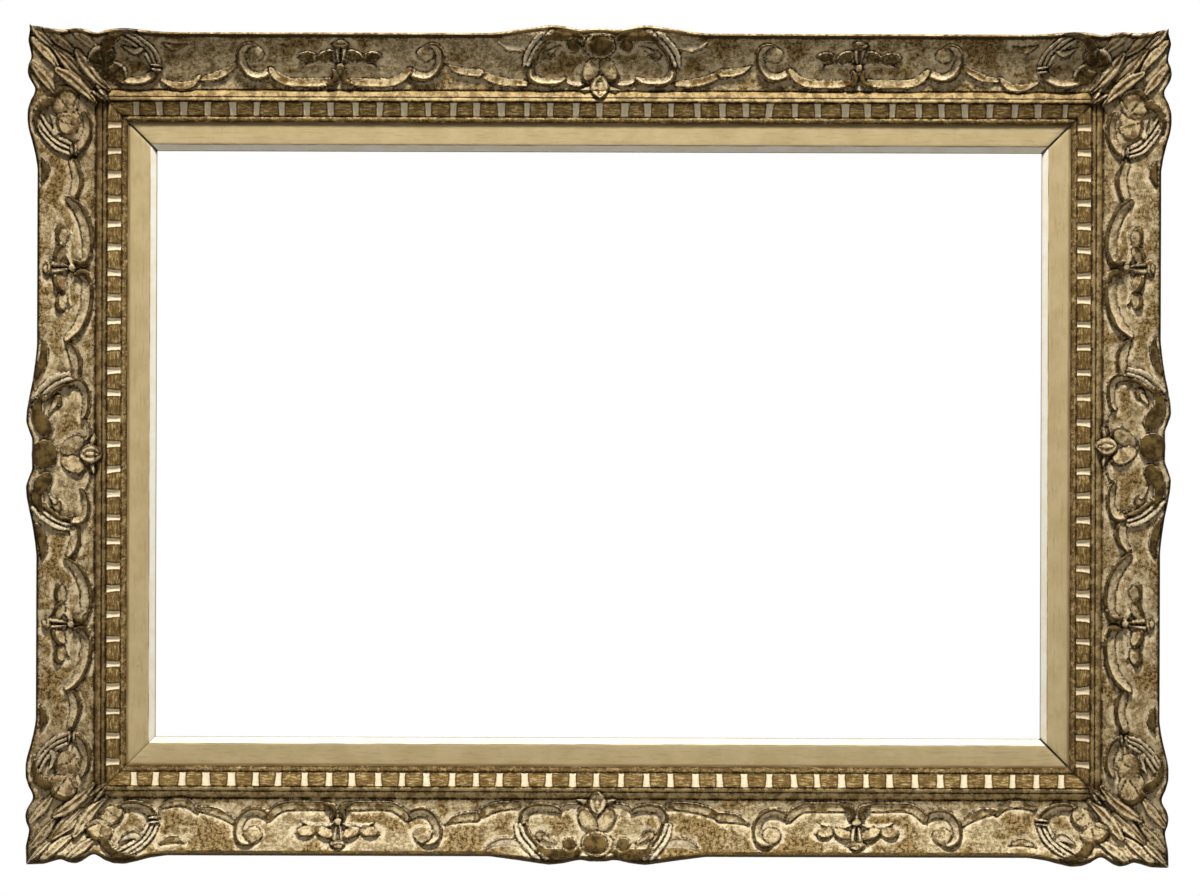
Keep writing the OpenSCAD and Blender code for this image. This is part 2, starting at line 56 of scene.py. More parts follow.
bpy.ops.object.select_all(action="DESELECT")
bpy.ops.mesh.primitive_circle_add(vertices=96, radius=floor_radius, fill_type="NGON",
                                  location=(0, 0, floor_level))
floor = bpy.context.object
floor.name = "studio_floor"
floor_paint = bpy.data.materials.new("studio_floor_paint")
floor_paint.use_nodes = True
floor_tree = floor_paint.node_tree
floor_shader = floor_tree.nodes["Principled BSDF"]
floor_shader.inputs["Base Color"].default_value = (0.82, 0.82, 0.81, 1)
floor_shader.inputs["Roughness"].default_value = 0.9
floor_white = floor_tree.nodes.new("ShaderNodeEmission")
seen_white(floor_tree, floor_shader.outputs["BSDF"], floor_white.outputs["Emission"],
           floor_tree.nodes["Material Output"].inputs["Surface"])
floor.data.materials.append(floor_paint)

world = bpy.data.worlds.new("studio_world")
bpy.context.scene.world = world
world.use_nodes = True
sky = world.node_tree
sky.nodes.clear()
sky_light = sky.nodes.new("ShaderNodeBackground")
sky_light.inputs["Color"].default_value = (1.0, 0.97, 0.92, 1)
sky_light.inputs["Strength"].default_value = 0.09
sky_white = sky.nodes.new("ShaderNodeBackground")
sky_white.inputs["Color"].default_value = (1, 1, 1, 1)
sky_out = sky.nodes.new("ShaderNodeOutputWorld")
seen_white(sky, sky_light.outputs["Background"], sky_white.outputs["Background"], sky_out.inputs["Surface"])

for lamp_name, stand, power, size, colour in (
        ("lamp_high", (0.05, -1.3, 2.97), 172.0, (0.6, 0.45), (1.0, 1.0, 1.0)),
        ("lamp_low", (0.0, -2.6, -1.2), 12.0, (1.6, 0.8), (0.98, 0.97, 0.95)),
        ("lamp_back", (-0.9, 3.0, 1.6), 75.0, (1.8, 1.4), (1.0, 1.0, 1.0))):
    bpy.ops.object.light_add(type="AREA", location=stand)
    lamp = bpy.context.object
    lamp.name = lamp_name
    lamp.data.shape = "RECTANGLE"
    lamp.data.size, lamp.data.size_y = size
    lamp.data.energy = power
    lamp.data.color = colour
    # every lamp is turned to the middle of the frame
    lamp.rotation_euler = (math.atan2(math.hypot(stand[0], stand[1]), stand[2]), 0,
                           math.atan2(stand[0], -stand[1]))

# The camera stands level and well back, straight in front of the frame, a hair turned as the photograph
# is. Its lens takes in the seen width at the depth of the frame's face.
bpy.ops.object.camera_add(location=(0.0013, -camera_distance, 0.0),
                          rotation=(math.radians(90), math.radians(-0.18), 0))
camera = bpy.context.object
camera.name = "photo_camera"
camera.data.sensor_width = 36.0
camera.data.lens = camera.data.sensor_width * (camera_distance - face_depth) / seen_width
camera.data.shift_y = -0.0025
bpy.context.scene.camera = camera
bpy.context.scene.view_settings.view_transform = "Standard"

# The four carved rails
# Hand-carved limewood under gesso, leaf and an umber glaze, mitred, glued and keyed at the corners:
# a deep hollow with scroll ornament, a bead, a fluted frieze and a fillet. Each rail is a fine grid
# laid round the moulding's section and worked down form by form, as a carver sets in a pattern.

# Sizes are in mm. On a rail, s runs along it from its middle, t inwards from its straight outer edge,
# and h forwards from the frame's back.
half_long, half_short = 505.0, 370.0
rail_w, band_w = 80.0, 51.0
crest_h, crest_w, crest_drop = 40.0, 2.0, 2.0
hollow_h = 22.5
rabbet_t, lip_h, back_h = 73.7, 18.2, 0.2
frieze_t, frieze_w = 62.2, 11.8
flute_pitch, flute_w, flute_d, flute_margin = 22.0, 5.2, 1.7, 73.5
# the outer side leans outwards from side_in at the back, towards side_out past the line at side_h
side_in, side_h, side_out = 6.0, 30.0, 10.0
# the crest's outer lip, and the most that anything stands over the back
lip_zone, lip_round, lip_drop, height_limit = 8.2, 3.2, 3.6, 41.0
# how far each end stands back from the mitre, on the face and on the back
mitre_crack, mitre_closed = 0.28, 0.02

# groove, the bead that slopes up to the ridge in two steps, frieze and fillet, as (t, h)
inner_section = [(50.2, 22.5), (50.7, 21.2), (51.5, 21.2), (52.0, 22.8), (53.2, 24.0), (55.2, 24.9),
                 (57.0, 25.3), (57.4, 24.3), (57.8, 25.6), (59.0, 26.6), (60.2, 27.0), (61.0, 26.7),
                 (61.4, 24.6), (62.0, 24.6), (62.4, 25.6), (74.0, 21.6), (74.5, 20.0), (75.0, 20.1),
                 (75.4, 20.9), (77.0, 21.2), (78.6, 20.6), (80.0, 19.7)]

# the sharp lines of the section that are darkened, partly by glaze pooled in them and partly as painted
# shade: how far in each lies, and how narrow it is
glaze_and_shade_lines = ((50.9, 0.6), (57.4, 1.0), (61.7, 0.55), (74.7, 0.8), (79.9, 0.7))

# the swept outer edge: how far in it lies (less than 0 is outside), by the distance from a long or
# short rail's middle, and by the distance from its corner
middle_sweep_long = [(0, -4.5), (8, -4.3), (14, -3.0), (19, -3.4), (30, -6.0), (43, -7.5), (54, -6),
                     (70, -3.6), (83, -1.9), (97, 0)]
middle_sweep_short = [(0, -4.3), (9, -4.2), (14, -4), (20, -6.5), (29, -9.6), (39, -9.0), (52, -6.6),
                      (63, -4.2), (74, -2.5), (85, -1), (95, 0)]
corner_sweep_long = [(118, 0), (102, -2), (92, -4.5), (80, -6.8), (70, -6.4), (61, -3.5), (54, 0.8),
                     (50, 0.4), (43, -4.6), (36, -6.7), (29, -5.6), (23, -3.2), (17, -4.6), (8, -7.0)]
corner_sweep_short = [(122, 0), (110, -2), (98, -5), (88, -8), (80, -9.2), (70, -9.0), (61, -6.2),
                      (54, -2.4), (50, -2.4), (43, -7.4), (36, -9.4), (29, -8.4), (23, -5.6), (17, -6.6),
                      (8, -8.8)]

# the marks of a spot that no form touches
bare_marks = {"dark": -4.0, "cream": 0.0, "line": 9.0, "near": 12.0}


def ease(a, b, x):
    """A soft step that is 0 at a and 1 at b."""
    k = np.clip((x - a) / (b - a), 0, 1)
    return k * k * (3 - 2 * k)


def dome(y):
    """The rounded back of a form: 1 on its middle line, 0 at its outline."""
    return np.sqrt(np.clip(1 - y * y, 0, 1))


def section_height(t):
    """Height of the plain moulding over its back, before any carving."""
    x = np.clip((t - crest_w) / (band_w - crest_w), 0, 1)
    hollow = hollow_h + (crest_h - crest_drop - hollow_h) * (1 - x) ** 1.7
    crest = crest_drop * ease(crest_w + 1.0, crest_w - 0.4, t)
    return np.where(t > inner_section[0][0], np.interp(t, *zip(*inner_section)), hollow + crest)


def smooth_path(points):
    """A curve through the given points, cut into steps of about 2 mm."""
    p = np.array(points, float)
    q = np.vstack([2 * p[0] - p[1], p, 2 * p[-1] - p[-2]])
    out = []
    for i in range(1, len(q) - 2):
        n = max(2, int(np.hypot(*(q[i + 1][:2] - q[i][:2])) / 2.0))
        for k in np.arange(n) / n:
            out.append((2 * q[i] + (q[i + 1] - q[i - 1]) * k
                        + (2 * q[i - 1] - 5 * q[i] + 4 * q[i + 1] - q[i + 2]) * k * k
                        + (3 * q[i] - q[i - 1] - 3 * q[i + 1] + q[i + 2]) * k ** 3) / 2)
    out.append(q[-2])
    return np.array(out)


def oval(x, y, size, turn):
    """How far out a spot lies in a turned oval: 0 at its middle, 1 at its outline."""
    c, s = math.cos(math.radians(turn)), math.sin(math.radians(turn))
    return np.hypot((x * c + y * s) / size[0] * 2, (y * c - x * s) / size[1] * 2)


def form_section(kind, y, half, edge, along, rise, widest):
    """The section of a form that is laid along a path, as its height over the ground and its marks.

    y runs from -1 at its low side to 1 at its raised side, half is its half width, edge the distance
    outside its outline, and along the share of the path behind the spot."""
    no_line = 9 + 0 * y
    if kind in ("strand", "scroll", "shell"):
        # a hollow that rises to a rounded rim on one side
        rim_w = np.clip(0.36 * half, 1.1, 2.2) if kind == "scroll" else np.clip(0.22 * half, 0.6, 1.05)
        brink = np.clip(1 - 1.8 * rim_w / np.maximum(half, 0.5), -0.5, 0.75)
        rim = ease(brink - 0.12, brink + 0.12, y)
        up = np.clip((y + 1) / (brink + 1), 0, 1)
        bend, body = 2.4, 0.35 + 0.6 * up
        if kind == "strand":
            rise, bend, body = rise * 0.62, 3.0, 0.2 + 0.6 * up ** 3
        fall = np.clip((y - brink) / (1 - brink), 0, 1)
        height = (1 - rim) * (0.3 + (rise - 1.1) * up ** bend) + rim * (rise - 0.5 * fall ** 2)
        dark = (y - brink) * half
        if kind == "shell":
            dark = np.minimum(dark - 1.2, 0)
        return height, dark, ease(brink + 0.1, brink - 0.2, y) * body, np.abs(y - brink) * half + 0.15
    if kind == "rim":
        return rise * (0.62 + 0.38 * dome(y)), -edge + 0.2, 0 * y, no_line
    if kind == "reed":
        return rise * (0.5 + 0.5 * dome(y)), -2 + 0 * y, 1 - 0.3 * np.abs(y), no_line
    if kind == "leaf":
        # folds side by side, with a V-cut in each furrow whose dark line is partly painted shade; each
        # fold's ridge is painted pale as highlight
        folds = max(round(widest / 5.4), 1)
        wave = np.abs(np.sin(np.pi * (y + 1) / 2 * folds))
        height = rise * (0.5 + 0.5 * wave ** 0.7 - 0.2 * np.clip(y, 0, 1) ** 2)
        furrow = np.arcsin(np.clip(wave, 0, 1)) * 2 * half / np.pi / folds + 0.3
        return height, 0.9 - np.abs(edge + 0.7) - 1.6 * (y < 0), 0.95 * wave ** 2.5, furrow
    if kind == "petal":
        tip = np.clip(y * 0.75 + 0.55 * ease(0.55, 1.0, along), -1, 1)
        height = rise * (0.45 + 0.25 * tip + 0.3 * np.clip(-edge / 1.6, 0, 1))
        brink = (y - 0.42) * half
        return height, brink, 0.55 + 0.3 * ease(0.62, 0.4, np.clip(y, 0, 1)), np.abs(brink) + 0.15
    # a scoop, hollowed between two low walls
    height = rise * (0.35 + 0.65 * np.clip(np.abs(y), 0, 1) ** 2.5)
    return height, -1.2 + 2.2 * ease(-1.5, -0.2, edge) * (y > 0.1), 0.75 - 0.4 * np.abs(y), no_line


class Board:
    """One rail under the gouge: heights over its face, and marks that say how each spot is finished.

    dark is how deep a spot lies inside a rubbed brown part, line how far it is from the nearest
    V-cut and near how far from the nearest form, all in mm; cream is the tone of a form's body."""

    def __init__(self, s, t, ground, painted_lit_tips):
        self.s, self.t, self.ground, self.painted_lit_tips = s, t, ground, painted_lit_tips
        self.h = ground.copy()
        self.marks = {key: np.full_like(s, value) for key, value in bare_marks.items()}

    def lay(self, at, edge, height, dark, cream, line, dip, firm=1.0):
        """Sets a form in: edge is the distance outside its outline, dip the ground scooped away beside it.
        Where firm falls to 0 the form runs out softly into the ground."""
        firm = firm + 0 * edge
        inside = ease(0.5, -0.5, edge) * firm
        scoop = dip * np.exp(-(np.clip(edge, 0, 20) / 3.0) ** 1.3) * firm
        self.h[at] = (self.h[at] - scoop) * (1 - inside) + (self.ground[at] + height) * inside
        on = (edge < 0) & (firm > 0.5)
        beside = np.where((edge < 2.2) & (firm > 0.98), edge - 2.6, 4)
        away = np.maximum(edge, 0) + 8 * (1 - firm)
        # each form's outline gets a dark line, partly dirt in the cut and partly painted shade
        cut = np.abs(edge - 0.35) * 0.62 + 0.1 + 9 * (firm < 0.9)
        line = np.minimum(line, cut)
        for key, value, past in (("dark", dark, beside), ("near", 0, away), ("line", line, cut)):
            old = self.marks[key][at]
            self.marks[key][at] = np.where(on, value, np.minimum(old, past))
        self.marks["cream"][at] = np.where(on, cream, self.marks["cream"][at])

    def band(self, side, points, widths, rise, kind="strand", out=1):
        """A form laid along a path of given widths; out is the side, left +1 or right -1, that stands up."""
        n = len(points)
        w = np.interp(np.arange(n), np.linspace(0, n - 1, len(widths)), widths)
        path = smooth_path([(a, b, c) for (a, b), c in zip(points, w)])
        low, high = path.min(axis=0), path.max(axis=0)
        pad = max(widths) / 2 + 9
        at = np.nonzero((side * self.s > low[0] - pad) & (side * self.s < high[0] + pad)
                        & (self.t > low[1] - pad) & (self.t < high[1] + pad))
        if not len(at[0]):
            return
        spot_s, spot_t = side * self.s[at], self.t[at]
        edge = np.full(spot_s.shape, 1e9)
        dist, half, along = np.zeros_like(spot_s), np.ones_like(spot_s), np.zeros_like(spot_s)
        total = len(path) - 1
        for i in range(total):
            # the nearest spot on each short step of the path
            a, b = path[i], path[i + 1]
            d = b[:2] - a[:2]
            k = np.clip(((spot_s - a[0]) * d[0] + (spot_t - a[1]) * d[1]) / (d @ d), 0, 1)
            off_s, off_t = spot_s - a[0] - k * d[0], spot_t - a[1] - k * d[1]
            r = np.hypot(off_s, off_t)
            wide = np.maximum((a[2] + (b[2] - a[2]) * k) / 2, 0.3)
            nearer = r - wide < edge
            edge = np.where(nearer, r - wide, edge)
            dist = np.where(nearer, np.sign(d[0] * off_t - d[1] * off_s) * r, dist)
            half = np.where(nearer, wide, half)
            along = np.where(nearer, (i + k) / total, along)
        y = np.clip(out * dist / half, -1.5, 1.5)
        edge = edge + 0.45
        height, dark, cream, line = form_section(kind, y, half, edge, along, rise, max(widths))
        firm = 1.0
        if kind == "shell":
            # its low side runs out into the ground
            firm = ease(-0.9, 0.2, y)
            line = np.where(y < 0.3, 9, line)
        self.lay(at, edge, height, dark, cream, line, 1.9, firm)

    def dish(self, side, middle, size, turn, tip, rise, kind="dish", shift=0.17, pleats=0):
        """An oval form: a round eye, a boss, or a dish or petal with a rubbed crescent towards its tip."""
        pad = max(size) / 2 + 9
        at = np.nonzero((np.abs(side * self.s - middle[0]) < pad) & (np.abs(self.t - middle[1]) < pad))
        if not len(at[0]):
            return
        dx, dy = side * self.s[at] - middle[0], self.t[at] - middle[1]
        r = oval(dx, dy, size, turn)
        mean = min(size) / 2
        edge = (r - 1) * mean
        if kind == "boss":
            self.lay(at, edge, rise * (0.55 + 0.45 * dome(r)), -edge, 0 * r, 9 + 0 * r, 1.3)
            return
        if kind == "eye":
            self.lay(at, edge, rise * (0.6 + 0.4 * dome(r)), -1.5 + 0 * r, 0.5 + 0 * r, np.abs(edge), 1.0)
            return
        tip = math.radians(tip)
        tip_x, tip_y = math.cos(tip), math.sin(tip)
        crest = (oval(dx + tip_x * shift * mean * 2, dy + tip_y * shift * mean * 2, size, turn) - 1) * mean
        rim = ease(-0.35, 0.35, crest)
        toward = (dx * tip_x + dy * tip_y) / mean
        bowl = np.clip(0.45 + 0.28 * toward, 0.1, 0.8)
        height = rise * ((1 - rim) * bowl + rim * (1 - 0.2 * np.clip(r, 0, 1)))
        line = np.abs(crest) + 0.1
        if pleats:
            # folds that fan out from the foot of the lobe, each furrow given a dark line as painted shade
            rx, ry = dx + 0.85 * mean * tip_x, dy + 0.85 * mean * tip_y
            reach = np.hypot(rx, ry)
            fold = np.abs(np.sin(pleats * (np.arctan2(ry, rx) - tip) + 0.5))
            height = height + 0.36 * rise * (1 - rim) * (fold ** 0.6 - 0.8)
            furrow = reach * np.arcsin(fold) / pleats * 0.55 + 0.05 + np.clip(3 - reach, 0, 3)
            line = np.minimum(line, furrow)
        dark, cream = crest * 1.3, 0.5 * (1 - rim)
        # on the top rail a petal's body is made dark and its rim pale: a painted highlight where the light
        # catches the rim
        if self.painted_lit_tips and kind == "petal":
            dark, cream = np.minimum(-0.4 - crest, 0.3), rim
        self.lay(at, edge, height, dark, cream, line, 1.3)


class Pen:
    """Draws forms on the left or right half of a board, from an origin on the rail. run is the way that it
    goes along the rail, and how far: less than 1 squeezes the drawing, and -1 mirrors it."""

    def __init__(self, board, side, origin=0, run=1):
        self.board, self.side, self.origin, self.run = board, side, origin, run

    def band(self, points, *form):
        self.board.band(self.side, [(self.origin + self.run * a, b) for a, b in points], *form)

    def dish(self, middle, *form):
        self.board.dish(self.side, (self.origin + self.run * middle[0], middle[1]), *form)


def carve_strands(board, side, long, squeeze):
    """What runs from the centre ornament to the flank: two strands, or one scroll on a short rail."""
    pen = Pen(board, side)
    if not long:
        pen.band([(94, 28.5), (86, 33), (75, 34.6), (62, 30)], (7, 11, 11, 9), 3.6, "scroll", -1)
        return
    shift = 75 * (squeeze - 1)
    pen.band([(110.5, 34), (104, 38.2), (96.5 + shift / 2, 42.4), (87 + shift, 44.6), (73 + shift, 45)],
             (5, 8.5, 9, 8.5, 6), 3.8, "strand", -1)
    pen.band([(109.5, 35.5), (120, 34.6), (129, 32.4), (137.5, 27.5)], (9, 9, 7, 1), 3.8)


def carve_links(board, side, long):
    """What runs from the flank to the corner: two strands and a tuft, or one scroll and a tuft."""
    pen = Pen(board, side)
    if long:
        pen.band([(322, 23), (333, 33), (345, 39), (358, 41)], (3, 7, 8.5, 5), 3.8)
        pen.band([(360, 39), (368, 46.5), (380, 48), (394, 43)], (4, 8, 8.5, 4), 4.0)
        pen.band([(371, 9), (382, 12.5), (394, 8)], (2, 8, 2), 2.6)
    else:
        pen.band([(219, 28), (229, 33.5), (241, 35), (254, 31)], (7, 11, 11, 9), 3.6, "scroll")
        pen.band([(234, 3), (246, 6.5), (258, 3)], (2, 8, 2), 2.6, "rim")


def carve_flank(board, side, middle, volutes, crescent):
    """Flank ornament: a flower under two arched strands, ending in notches or in two volutes."""
    for m in (1, -1):
        pen = Pen(board, side, middle, m)
        if volutes:
            pen.band([(63, 33.8), (67.5, 37.6), (74.5, 39.2), (81, 37.8), (85.6, 33.8), (89, 28), (90.2, 22),
                      (89.8, 16), (86.5, 11.4), (81, 9.6), (76, 10.8), (72.5, 13)],
                     (7.5, 9, 9, 9, 9, 9, 8.5, 8, 8, 6.5, 4, 2), 4.4, "scroll", m)
            pen.dish((76.3, 17.8), (16.4, 15), 0, 0, 2.8, "eye")
            pen.band([(61.5, 33.8), (57, 39), (49.5, 43.4), (41, 44.8), (30, 44.8), (18, 44.6), (10, 43.6)],
                     (7, 9, 9, 9, 9, 9, 8), 4.3, "strand", -m)
        else:
            pen.band([(60, 26.5), (51, 36), (37, 42.4), (22, 44.6), (10, 43), (6, 38)],
                     (7, 11, 12, 12, 10, 6), 3.8, "scroll", -m)
        # the curl, the collar, two petals and the stem on each side of the flower
        pen.band([(11, 46), (5, 43.6), (3.4, 38.5), (6, 33.6)], (3.5, 6, 6, 3.5), 4.4, "rim")
        pen.band([(4.5, 29.5), (12, 27.6), (21, 27.2), (30.5, 29.4)], (5, 9, 9.5, 4), 3.6, "shell", -m)
        pen.dish((28.6, 20.6), (17.5, 11), m * -10, 270 + m * 30, 4.0, "petal", crescent)
        pen.dish((12.4, 19.4), (17.5, 11), m * 24, 270 + m * 20, 4.0, "petal", crescent)
        pen.band([(1.2, 27), (2.6, 20), (3.2, 13)], (2.4, 4.6, 5.6), 3.2, "leaf")
    # the bud on the crest side and the bead on the other side of the flower
    pen = Pen(board, side, middle)
    pen.dish((0, 8.6), (14.5, 6.5), 0, 270, 3.6, "boss")
    pen.dish((-0.5, 6.4), (9, 4.2), 0, 270, 2.6, "eye")
    pen.dish((0, 30.2), (7.5, 6.5), 0, 0, 3.4, "eye")


def carve_centre(board, side, long, squeeze):
    """One half of the centre ornament, squeezed lengthways: palm, double scroll, lobes and petals."""
    pen = Pen(board, side, 0, squeeze)
    # the shoulder that dies away along the crest
    if long:
        pen.band([(103, 4.5), (97, 7), (89, 8.6), (80, 8.8), (72, 6.5)], (1, 9, 14, 14, 10), 3.2, "shell", -1)
    else:
        pen.band([(108, 3.5), (98, 5.5), (84, 4), (72, 0)], (1, 7, 8, 5), 2.8, "rim", -1)
    # the lobe beside the spear, the large scroll, and the two reeds and the rim between it and the crest
    pen.band([(36, 39), (29, 43), (21, 44.3), (12, 43)], (5, 7, 7, 4), 2.8, "shell", -1)
    pen.band([(67.5, 31), (67.8, 37), (63.5, 41.5), (57, 43.4), (48, 43.4), (40, 42.3), (35.5, 40)],
             (7.5, 9, 9, 8.5, 8, 7, 5), 4.2, "scroll", -1)
    pen.band([(54, -4), (64, 4.8), (72.5, 16.5), (74.6, 27.5)], (5, 5.8, 6, 5.4), 3.4, "reed")
    pen.band([(47, -3.5), (57, 5), (66, 16.5), (71, 28)], (4.8, 5.2, 5.2, 4.6), 3.9, "reed")
    pen.band([(40, -1), (50, 4), (59.5, 14), (64.5, 22.5), (66, 30)], (4, 4.2, 4.2, 4.2, 3), 4.4, "rim")
    # the swelling at the crest, then an oval, a scoop, a boss, a small leaf and a large oval petal
    if long:
        pen.band([(17, 3.5), (24, 1), (32, 0.2), (42, 0.4), (54, 4.5)], (6, 9, 10.5, 10, 5), 3.4, "rim")
    else:
        pen.band([(23, 8), (28, 4.5), (36, 1), (45, 0), (56, 3.5)], (13, 16, 12.5, 10, 5), 4.0, "rim")
    pen.dish((51.5, 17.8), (11.5, 9.5), 25, 110, 3.2)
    pen.band([(38.5, 10), (43, 12), (48.5, 15.5)], (1.5, 4.5, 6), 2.4, "scoop")
    if long:
        pen.dish((26.3, 9.6), (12, 12), 0, 0, 3.8, "boss")
    pen.band([(11, 49), (15, 50.4), (20, 50.6)], (6, 6, 1), 2.0, "leaf")
    pen.dish((9, 31.5), (25, 14.5), 58, 40, 4.0, "dish", 0.12)


def carve_middle(board, long):
    """The spear over the bead and the knob on the crest, in the middle of the rail."""
    pen = Pen(board, 1)
    pen.band([(0, 42.5), (0, 47.5), (0, 54)], (11, 17.5, 9), 4.2, "leaf")
    if long:
        pen.dish((0, 9.6), (29, 24), 0, 0, 2.4, "eye")
        pen.dish((-1, 9.6), (21.5, 18), 0, 0, 4.2, "boss")
    else:
        pen.dish((0, 6.5), (25, 24), 0, 0, 4.6, "boss")


def carve_corner(board, side, half, long):
    """Corner ornament: a scroll on three reeds, the leaves that meet at the mitre, two lobes and a comma."""
    pen = Pen(board, side, half, -1)
    pen.band([(72, 41), (81, 44.2), (91, 44), (99.5, 40.2), (104.8, 34.5), (106, 29)],
             (6, 9, 9.5, 10, 9.5, 8.5), 4.3, "scroll", -1)
    pen.band([(109, 28.5), (104.5, 16.5), (94.5, 5.5), (83, -1.5)], (4.4, 4.6, 4.6, 4), 3.6, "reed")
    pen.band([(104.6, 28), (99.5, 16.5), (90, 6.5), (78.5, -1)], (4.2, 4.4, 4.4, 4), 4.0, "reed")
    pen.band([(100.2, 27.5), (95, 17), (86.5, 9), (75.8, 2.4)], (4.2, 4.4, 4.4, 4), 3.4, "reed")
    # the tie with two turns round the reeds, the curl inside them, and the leaves
    for b in (29.4, 33.4):
        pen.band([(101, b - 0.6), (105.5, b), (110, b + 0.4)], (2.5, 3.4, 2.5), 4.8, "reed")
    pen.band([(75.5, 10), (82, 14.6), (87.5, 17), (91.6, 15)], (2, 7, 9, 8), 3.0, "petal", -1)
    for path, w, rise in (
            ([(54.5, 15), (43, 6), (30, -5)], 11.5, 3.4),
            ([(32.5, 17), (20, 7), (7.5, -5)], 12, 3.2),
            ([(16.5, 17), (6, 6), (-6, -6)], 12.5, 3.4),
            ([(40, 39), (28, 27.5), (14.5, 14.5)], 15, 3.6),
            ([(63, 51), (51, 40), (41.5, 28), (35, 16.5)], 12, 4.6),
            ([(63, 62), (57.5, 54), (53, 48)], 6, 4.2)):
        pen.band(path, (w * 0.35, w * 0.9, w, w * 0.6), rise, "leaf", -1)
    if long:
        pen.dish((68, 34.5), (23, 18), -30, 235, 3.0, "petal", 0.17, 2)
        pen.dish((57, 21), (26, 21), 20, 290, 4.2, "petal", 0.2, 3)
    else:
        pen.dish((80, 26.5), (27, 22), 0, 300, 2.8, "petal", 0.12, 2)
        pen.dish((62, 23.5), (28, 25.5), 10, 335, 4.4, "petal", 0.2, 3)
    pen.band([(62.5, 9.5), (67, 3.4), (76, -1.6), (88, -2.6)], (10, 9.5, 7, 3), 4.0, "rim")


def carve_pattern(board, half, long, squeezes):
    """The whole pattern of a rail, mirrored about its middle; what comes later lies over what is there."""
    # the petals' dark crescents are drawn twice as large on the short side rails, the added part painted
    # shade
    flank, crescent = (233.5, 0.17) if long else (160.0, 0.34)
    for side, squeeze in ((1, squeezes[1]), (-1, squeezes[0])):
        carve_strands(board, side, long, squeeze)
        carve_links(board, side, long)
        carve_flank(board, side, flank, long, crescent)
        carve_centre(board, side, long, squeeze)
        carve_corner(board, side, half, long)
    carve_middle(board, long)


def wobble(s, t, seed, size):
    """A slow drift of the pattern, as a hand carving has, in waves of about 17 to 73 mm."""
    rng = np.random.default_rng(seed)
    out = 0 * s
    for wave in (31.0, 47.0, 73.0, 17.0):
        a, b, c = rng.uniform(0, 6.28, 3)
        swing = np.sin(s / wave * 6.28 * (0.8 + 0.4 * rng.random()) + a + 1.6 * np.sin(t / 23 + b))
        out = out + math.sqrt(wave / 73) * swing * np.cos(t / 31 + c)
    return out * size / 2


def centre_drift(s, drift):
    """How far the pattern is off its place: most in the rail's middle, dying away along it."""
    return drift * np.exp(-(s / 130.0) ** 2)


def outer_edge(s, half, long, swells, tips):
    """How far in from the straight line the rail's swept outer edge lies, with its corners rounded. For the
    rail's two ends, swells gives the share of the corner's swell and tips the place of the mitre's tip."""
    middle_sweep = middle_sweep_long if long else middle_sweep_short
    corner_sweep = corner_sweep_long if long else corner_sweep_short
    dense = np.arange(-20, half + 30, 0.5)
    kernel = np.exp(-(np.arange(-10, 11) / 4.0) ** 2)
    ends = []
    for swell, tip in zip(swells, tips):
        corner = [(half - a, b * swell if b < 0 else b) for a, b in corner_sweep]
        knots = middle_sweep + corner + [(half + 2, tip), (half + 9, tip)]
        shape = np.interp(np.abs(dense), *zip(*knots))
        shape = np.convolve(np.pad(shape, 10, mode="edge"), kernel / kernel.sum(), mode="valid")
        ends.append(np.interp(np.abs(s), dense, shape))
    return np.where(s < 0, *ends)


def flute_distance(s, t, half, seed):
    """Distance outside the nearest gouge cut of the frieze; the cuts vary in place, width and slant."""
    rng = np.random.default_rng(seed)
    count = int((half - flute_margin - flute_w) / flute_pitch)
    down = np.clip((t - frieze_t) / frieze_w, 0, 1)
    nearest = np.full_like(s, 9.0)
    for i in range(-count, count + 1):
        centre = i * flute_pitch + rng.normal(0, 0.7)
        wide = flute_w * (1 + rng.normal(0, 0.09))
        slant = rng.normal(0, 0.5)
        cut = wide / 2 * (1.12 - 0.25 * down + 0.2 * (2 * down - 1) ** 4)
        nearest = np.minimum(nearest, np.abs(s - centre - slant * (down - 0.5)) - cut)
    return nearest


def section_rows():
    """The rows of the grid, once round the section: the part that each lies on, and its place there."""
    rows = [("back", t) for t in (rabbet_t, 40, side_in)]
    rows += [("side", h) for h in np.arange(4, 36.1, 4)]
    rows += [("outer", share) for share in np.linspace(0, 1, 12)]
    for start, end, step in ((9, 50.01, 1.0), (50.4, 62.5, 0.5), (63.2, 73.7, 1.0), (73.9, 79.9, 0.6)):
        rows += [("front", t) for t in np.arange(start, end, step)]
    rows += [("front", rail_w), ("lip", rail_w), ("lip", rabbet_t), ("back", rabbet_t)]
    return rows


def rail_grid(rows, columns, half, long, drift, swells, tips):
    """Where the spots of a rail's grid lie, as s and t, and how far in the swept edge is beside each. The
    edge and the mitre depend on each other, so they are found in rounds."""
    cracks = [mitre_closed if part in ("back", "lip") else mitre_crack for part, value in rows]
    u = np.repeat(np.linspace(-1, 1, columns + 1)[None, :], len(rows), axis=0)
    s, t = u * half, np.zeros_like(u)
    for _ in range(4):
        edge = outer_edge(s - centre_drift(s, drift), half, long, swells, tips)
        for i, (part, value) in enumerate(rows):
            t[i] = value
            if part == "side":
                t[i] = np.maximum(edge[i], side_in - (side_in + side_out) * value / side_h)
            elif part == "outer":
                t[i] = edge[i] + (lip_zone - edge[i]) * value ** 1.15
        s = u * (half - t - np.array(cracks)[:, None])
    return s, t, edge


